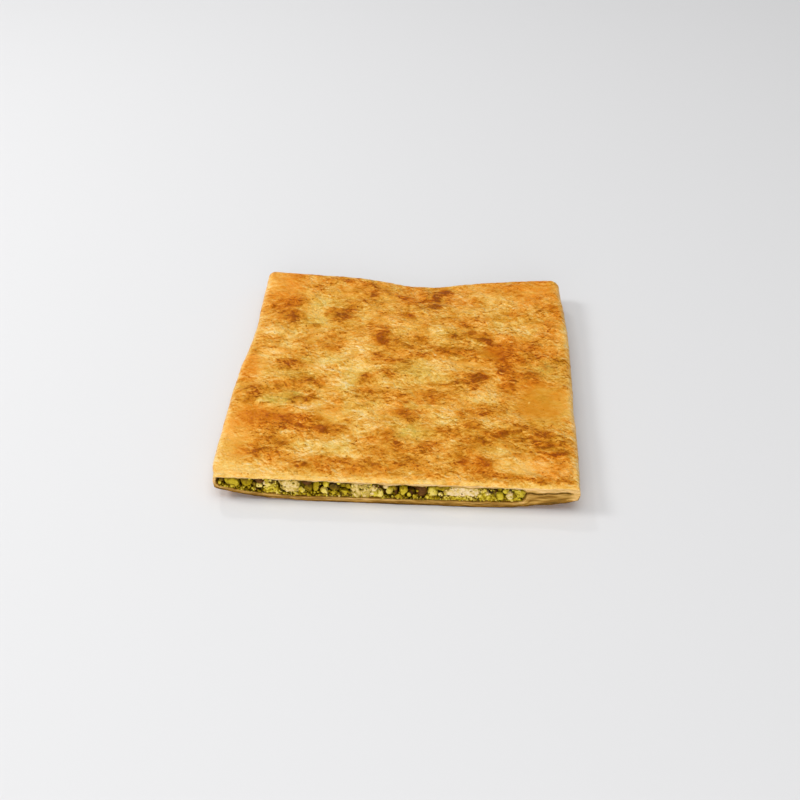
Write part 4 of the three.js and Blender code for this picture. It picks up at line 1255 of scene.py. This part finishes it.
# The crust's thin leaves and its wrinkles: features a millimetre, how sharp, step to the shaded
# side (mm), how much their tone differs (for a wrinkle, a painted highlight along its ridge) and
# how strongly their edges are painted with highlight at the back and shade at the front
LEAVES = [
    (0.060, 24, 0.8, 0.03, 0.12),
    (0.14, 12, 0.7, 0.05, 0.18),
    (0.32, 6, 0.6, 0.09, 0.18),
    (0.70, 4, 0.4, 0.06, 0.14),
]
WRINKLES = [
    (0.10, 8, 0.9, 0.05, 0.32),
    (0.19, 5.5, 0.7, 0.06, 0.42),
    (0.36, 4, 0.5, 0.05, 0.42),
]
HUE_PATCHES = 0.16  # how much patches of noise differ in hue, either way
EVEN_SPOTS, LEAFY_SPOTS = 0.80, 0.11  # how strong spots are, and how much more so on each leaf


def crust_material():
    """Baked crust: the mesh says how browned each place is, and leaves, wrinkles and pits of
    noise are added where it is lively, with painted highlight and shade on edges and ridges."""
    n = Nodes("baked_crust")
    lively = n.value("lively")
    height = n.noise(0.7, 2)
    marks = n.around(height, 0.07)
    mottle = EVEN_SPOTS
    for k, (per_mm, sharpness, step, tone, edge) in enumerate(LEAVES):
        source = {"per_mm": per_mm, "detail": 2, "twist": 0.3, "shift": 0.3 + k}
        leaf, light = n.lit(n.crisp, sharpness, step, **source)
        marks = n.math("ADD", marks, n.span(leaf, -tone / 2, tone / 2))
        # Painted highlight on each leaf's back edge and painted shade on its front edge
        marks = n.math("MULTIPLY_ADD", light, -edge, marks)
        height = n.math("ADD", height, leaf)
        mottle = n.math("MULTIPLY_ADD", leaf, LEAFY_SPOTS, mottle)
    for k, (per_mm, sharpness, step, tone, edge) in enumerate(WRINKLES):
        source = {"per_mm": per_mm, "detail": 2, "twist": 0.3, "shift": 4.1 + k}
        ridge, light = n.lit(n.lines, sharpness, step, **source)
        here = n.crisp(n.noise(0.09, 2, shift=6.0 + k), 5.0)
        ridge, light = n.math("MULTIPLY", ridge, here), n.math("MULTIPLY", light, here)
        # Painted highlight on each wrinkle's back edge and ridge, and painted shade on its front
        # edge
        marks = n.math("MULTIPLY_ADD", light, -edge, marks)
        marks = n.math("MULTIPLY_ADD", ridge, -tone, marks)
        height = n.math("ADD", height, ridge)
    pits = n.math("MULTIPLY_ADD", n.noise(0.6, 1, shift=12.0), 5.0, -3.4)  # small dark specks
    marks = n.math("ADD", marks, n.math("MAXIMUM", pits, 0.0))
    bake = n.math("MULTIPLY_ADD", n.value("spots"), mottle, n.value("bake"))
    bake = n.math("MULTIPLY_ADD", marks, lively, bake)
    patches = n.crisp(n.noise(0.13, 3, (0.7, 1, 1), twist=0.6, shift=9.0), 6.0)
    hue = n.span(patches, -HUE_PATCHES, HUE_PATCHES)
    orange = n.math("ADD", n.value("orange"), hue)
    colour = n.blend(orange, n.ramp(bake, YELLOW_COLOURS), n.ramp(bake, ORANGE_COLOURS))
    green = n.math("MULTIPLY", n.value("green"), n.span(n.noise(0.4, 3, shift=3.0), -1.2, 2.4))
    colour = n.blend(n.math("MAXIMUM", green, 0.0), colour, linear(*GREEN))
    n.set(Base_Color=colour, Roughness=n.span(n.noise(0.25, 3), 0.18, 0.50))
    n.set(Specular_IOR_Level=0.06)
    n.set(Subsurface_Weight=0.05, Subsurface_Radius=(1.0, 0.5, 0.2), Subsurface_Scale=1.0 * MM)
    n.bump(n.math("MULTIPLY", height, lively), 0.24)
    return n.material


def crumb_material():
    """The dough where it is cut, and the pocket's walls."""
    n = Nodes("cut_dough")
    leaves = n.noise(0.35, 4, (0.4, 1, 6), 0.4)
    bake = n.math("ADD", n.value("bake"), n.around(leaves, 0.22))
    n.set(Base_Color=n.ramp(bake, CUT_COLOURS), Roughness=0.6, Specular_IOR_Level=0.12)
    n.set(Subsurface_Weight=0.15, Subsurface_Radius=(1.0, 0.6, 0.3), Subsurface_Scale=1.5 * MM)
    n.bump(n.math("ADD", leaves, n.noise(1.6, 3)), 0.25, 0.9)
    return n.material


NUT_COLOURS = [
    (0.00, (52, 34, 2)),
    (0.25, (118, 92, 5)),
    (0.50, (176, 150, 16)),
    (0.75, (212, 189, 56)),
    (1.00, (234, 210, 118)),
]
SKIN_COLOURS = [(0.0, (46, 24, 4)), (0.5, (92, 56, 16)), (1.0, (140, 96, 36))]
CREAM_COLOURS = [
    (0.00, (236, 210, 162)),
    (0.25, (222, 192, 112)),
    (0.55, (188, 158, 54)),
    (1.00, (80, 58, 10)),
]


def nut_material():
    """Pistachio: green to yellow flesh by the mesh's tone, under patches of brown skin."""
    n = Nodes("chopped_pistachio")
    grain = n.noise(0.8, 4)
    tone = n.math("ADD", n.value("tone"), n.around(grain, 0.12))
    flesh = n.ramp(tone, NUT_COLOURS)
    skin = n.ramp(n.noise(0.5, 4, (1, 1, 2)), SKIN_COLOURS)
    patches = n.math("MULTIPLY_ADD", n.noise(0.35, 3), 3.0, -1.9)
    cover = n.math("ADD", n.math("MULTIPLY_ADD", n.value("skin"), 2.4, -0.7), patches)
    cover = n.math("MINIMUM", n.math("MAXIMUM", cover, 0.0), 1.0)
    n.set(Base_Color=n.blend(cover, flesh, skin), Roughness=n.span(grain, 0.38, 0.6))
    n.set(Specular_IOR_Level=0.10, Subsurface_Weight=0.10)
    n.set(Subsurface_Radius=(0.8, 0.7, 0.2), Subsurface_Scale=1.0 * MM)
    n.bump(n.math("ADD", n.noise(1.6, 4), grain), 0.18, 0.8)
    return n.material


def cream_material():
    """Clotted cream: the mesh says how stained each place is, and its pores are painted dark as
    painted shade.
    """
    n = Nodes("clotted_cream")
    curd = n.noise(0.9, 4)
    shade = n.math("ADD", n.value("shade"), n.around(curd, 0.07))
    n.set(Base_Color=n.ramp(shade, CREAM_COLOURS), Roughness=n.span(curd, 0.35, 0.6))
    n.set(Specular_IOR_Level=0.4, Subsurface_Weight=0.25)
    n.set(Subsurface_Radius=(1.0, 0.8, 0.6), Subsurface_Scale=1.2 * MM)
    n.bump(n.math("ADD", curd, n.noise(2.4, 3)), 0.2, 0.8)
    return n.material


# ------------------------------------------------------------
# Floor, light and camera
AIM = Vector((-0.5, -35.8, 19.2))  # mm, where the camera looks
CAMERA_AZIMUTH, CAMERA_ELEVATION, CAMERA_ROLL = 3.82, 37.68, -0.47  # degrees
CAMERA_DISTANCE = 613.2  # mm
LENS, SENSOR = 54.36, 36.0  # mm
NEAR_CLIP, FAR_CLIP = 10.0, 50000.0  # mm
FLOOR_SIZE = 6000.0  # mm
FLOOR_COLOUR = (214, 214, 215)
# Disk lights that face the packet: place and diameter in mm, and power in watts
LIGHTS = {
    "overhead_softbox": ((0, -300, 3000), 3000, 44),
    "front_softbox": ((0, -1400, 260), 1300, 14),
    "key_softbox": ((-1000, 40, 900), 420, 7),
    "back_lamp": ((-500, 800, 900), 120, 2.0),
}
STUDIO_LIGHT = 0.36  # the strength of the white surroundings


def attach(piece, slot, *nodes):
    """Ties a piece to the packet's one body and hides the nodes it stands for; slot, its finish, is
    not used.
    """
    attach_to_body(piece, "root")
    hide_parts(*nodes)


def make_floor():
    """A plain pale floor, which isn't part of the object."""
    n = Nodes("pale_floor")
    n.set(Base_Color=linear(*FLOOR_COLOUR), Roughness=0.7, Specular_IOR_Level=0.2)
    steps = np.linspace(-FLOOR_SIZE / 2, FLOOR_SIZE / 2, 3)
    x, y = np.meshgrid(steps, steps)
    builder = Builder()
    builder.quads(builder.add(np.stack([x, y, np.zeros(x.shape)], -1)))
    builder.make("floor", [n.material], smooth_shaded=False)


def aimed(place, target, roll=0.0):
    """A pose at place that looks at target, in mm."""
    place, target = Vector(place) * MM, Vector(target) * MM
    turn = (target - place).to_track_quat("-Z", "Y").to_matrix().to_4x4()
    return Matrix.Translation(place) @ turn @ Matrix.Rotation(math.radians(roll), 4, "Z")


def make_light(name, place, size, power):
    light = bpy.data.lights.new(name, "AREA")
    light.shape = "DISK"
    light.size = size * MM
    light.energy = power
    lamp = bpy.data.objects.new(name, light)
    lamp.matrix_world = aimed(place, (0, 0, 0))
    bpy.context.scene.collection.objects.link(lamp)


def make_lights():
    """The lights and the white surroundings."""
    for name, (place, size, power) in LIGHTS.items():
        make_light(name, place, size, power)
    world = bpy.data.worlds.new("studio")
    world.use_nodes = True
    background = world.node_tree.nodes["Background"]
    background.inputs["Color"].default_value = (1.0, 1.0, 1.0, 1.0)
    background.inputs["Strength"].default_value = STUDIO_LIGHT
    bpy.context.scene.world = world


def make_camera():
    """The camera, at its angle and distance from the point it is aimed at."""
    data = bpy.data.cameras.new("camera")
    data.lens = LENS
    data.sensor_width = SENSOR
    data.clip_start = NEAR_CLIP * MM
    data.clip_end = FAR_CLIP * MM
    azimuth, elevation = math.radians(CAMERA_AZIMUTH), math.radians(CAMERA_ELEVATION)
    away = Vector((math.sin(azimuth), -math.cos(azimuth), 0)) * math.cos(elevation)
    away.z = math.sin(elevation)
    camera = bpy.data.objects.new("camera", data)
    camera.matrix_world = aimed(AIM + away * CAMERA_DISTANCE, AIM, CAMERA_ROLL)
    bpy.context.scene.collection.objects.link(camera)
    bpy.context.scene.camera = camera


# ------------------------------------------------------------
# The scene
bpy.context.scene.view_settings.view_transform = "Standard"
attach(make_dough(crust_material(), crumb_material()), "baked_dough", "pastry")

nut = nut_material()
for make_part in (make_core, make_kernels, make_crumbs):
    attach(make_part(nut), "pistachio", "pistachio_filling")

cream = cream_material()
for node in CREAM_BANDS:
    attach(make_cream(node, cream), "cream", node)
attach(make_cream_bits(cream), "cream", *CREAM_BANDS)

make_floor()
make_lights()
make_camera()
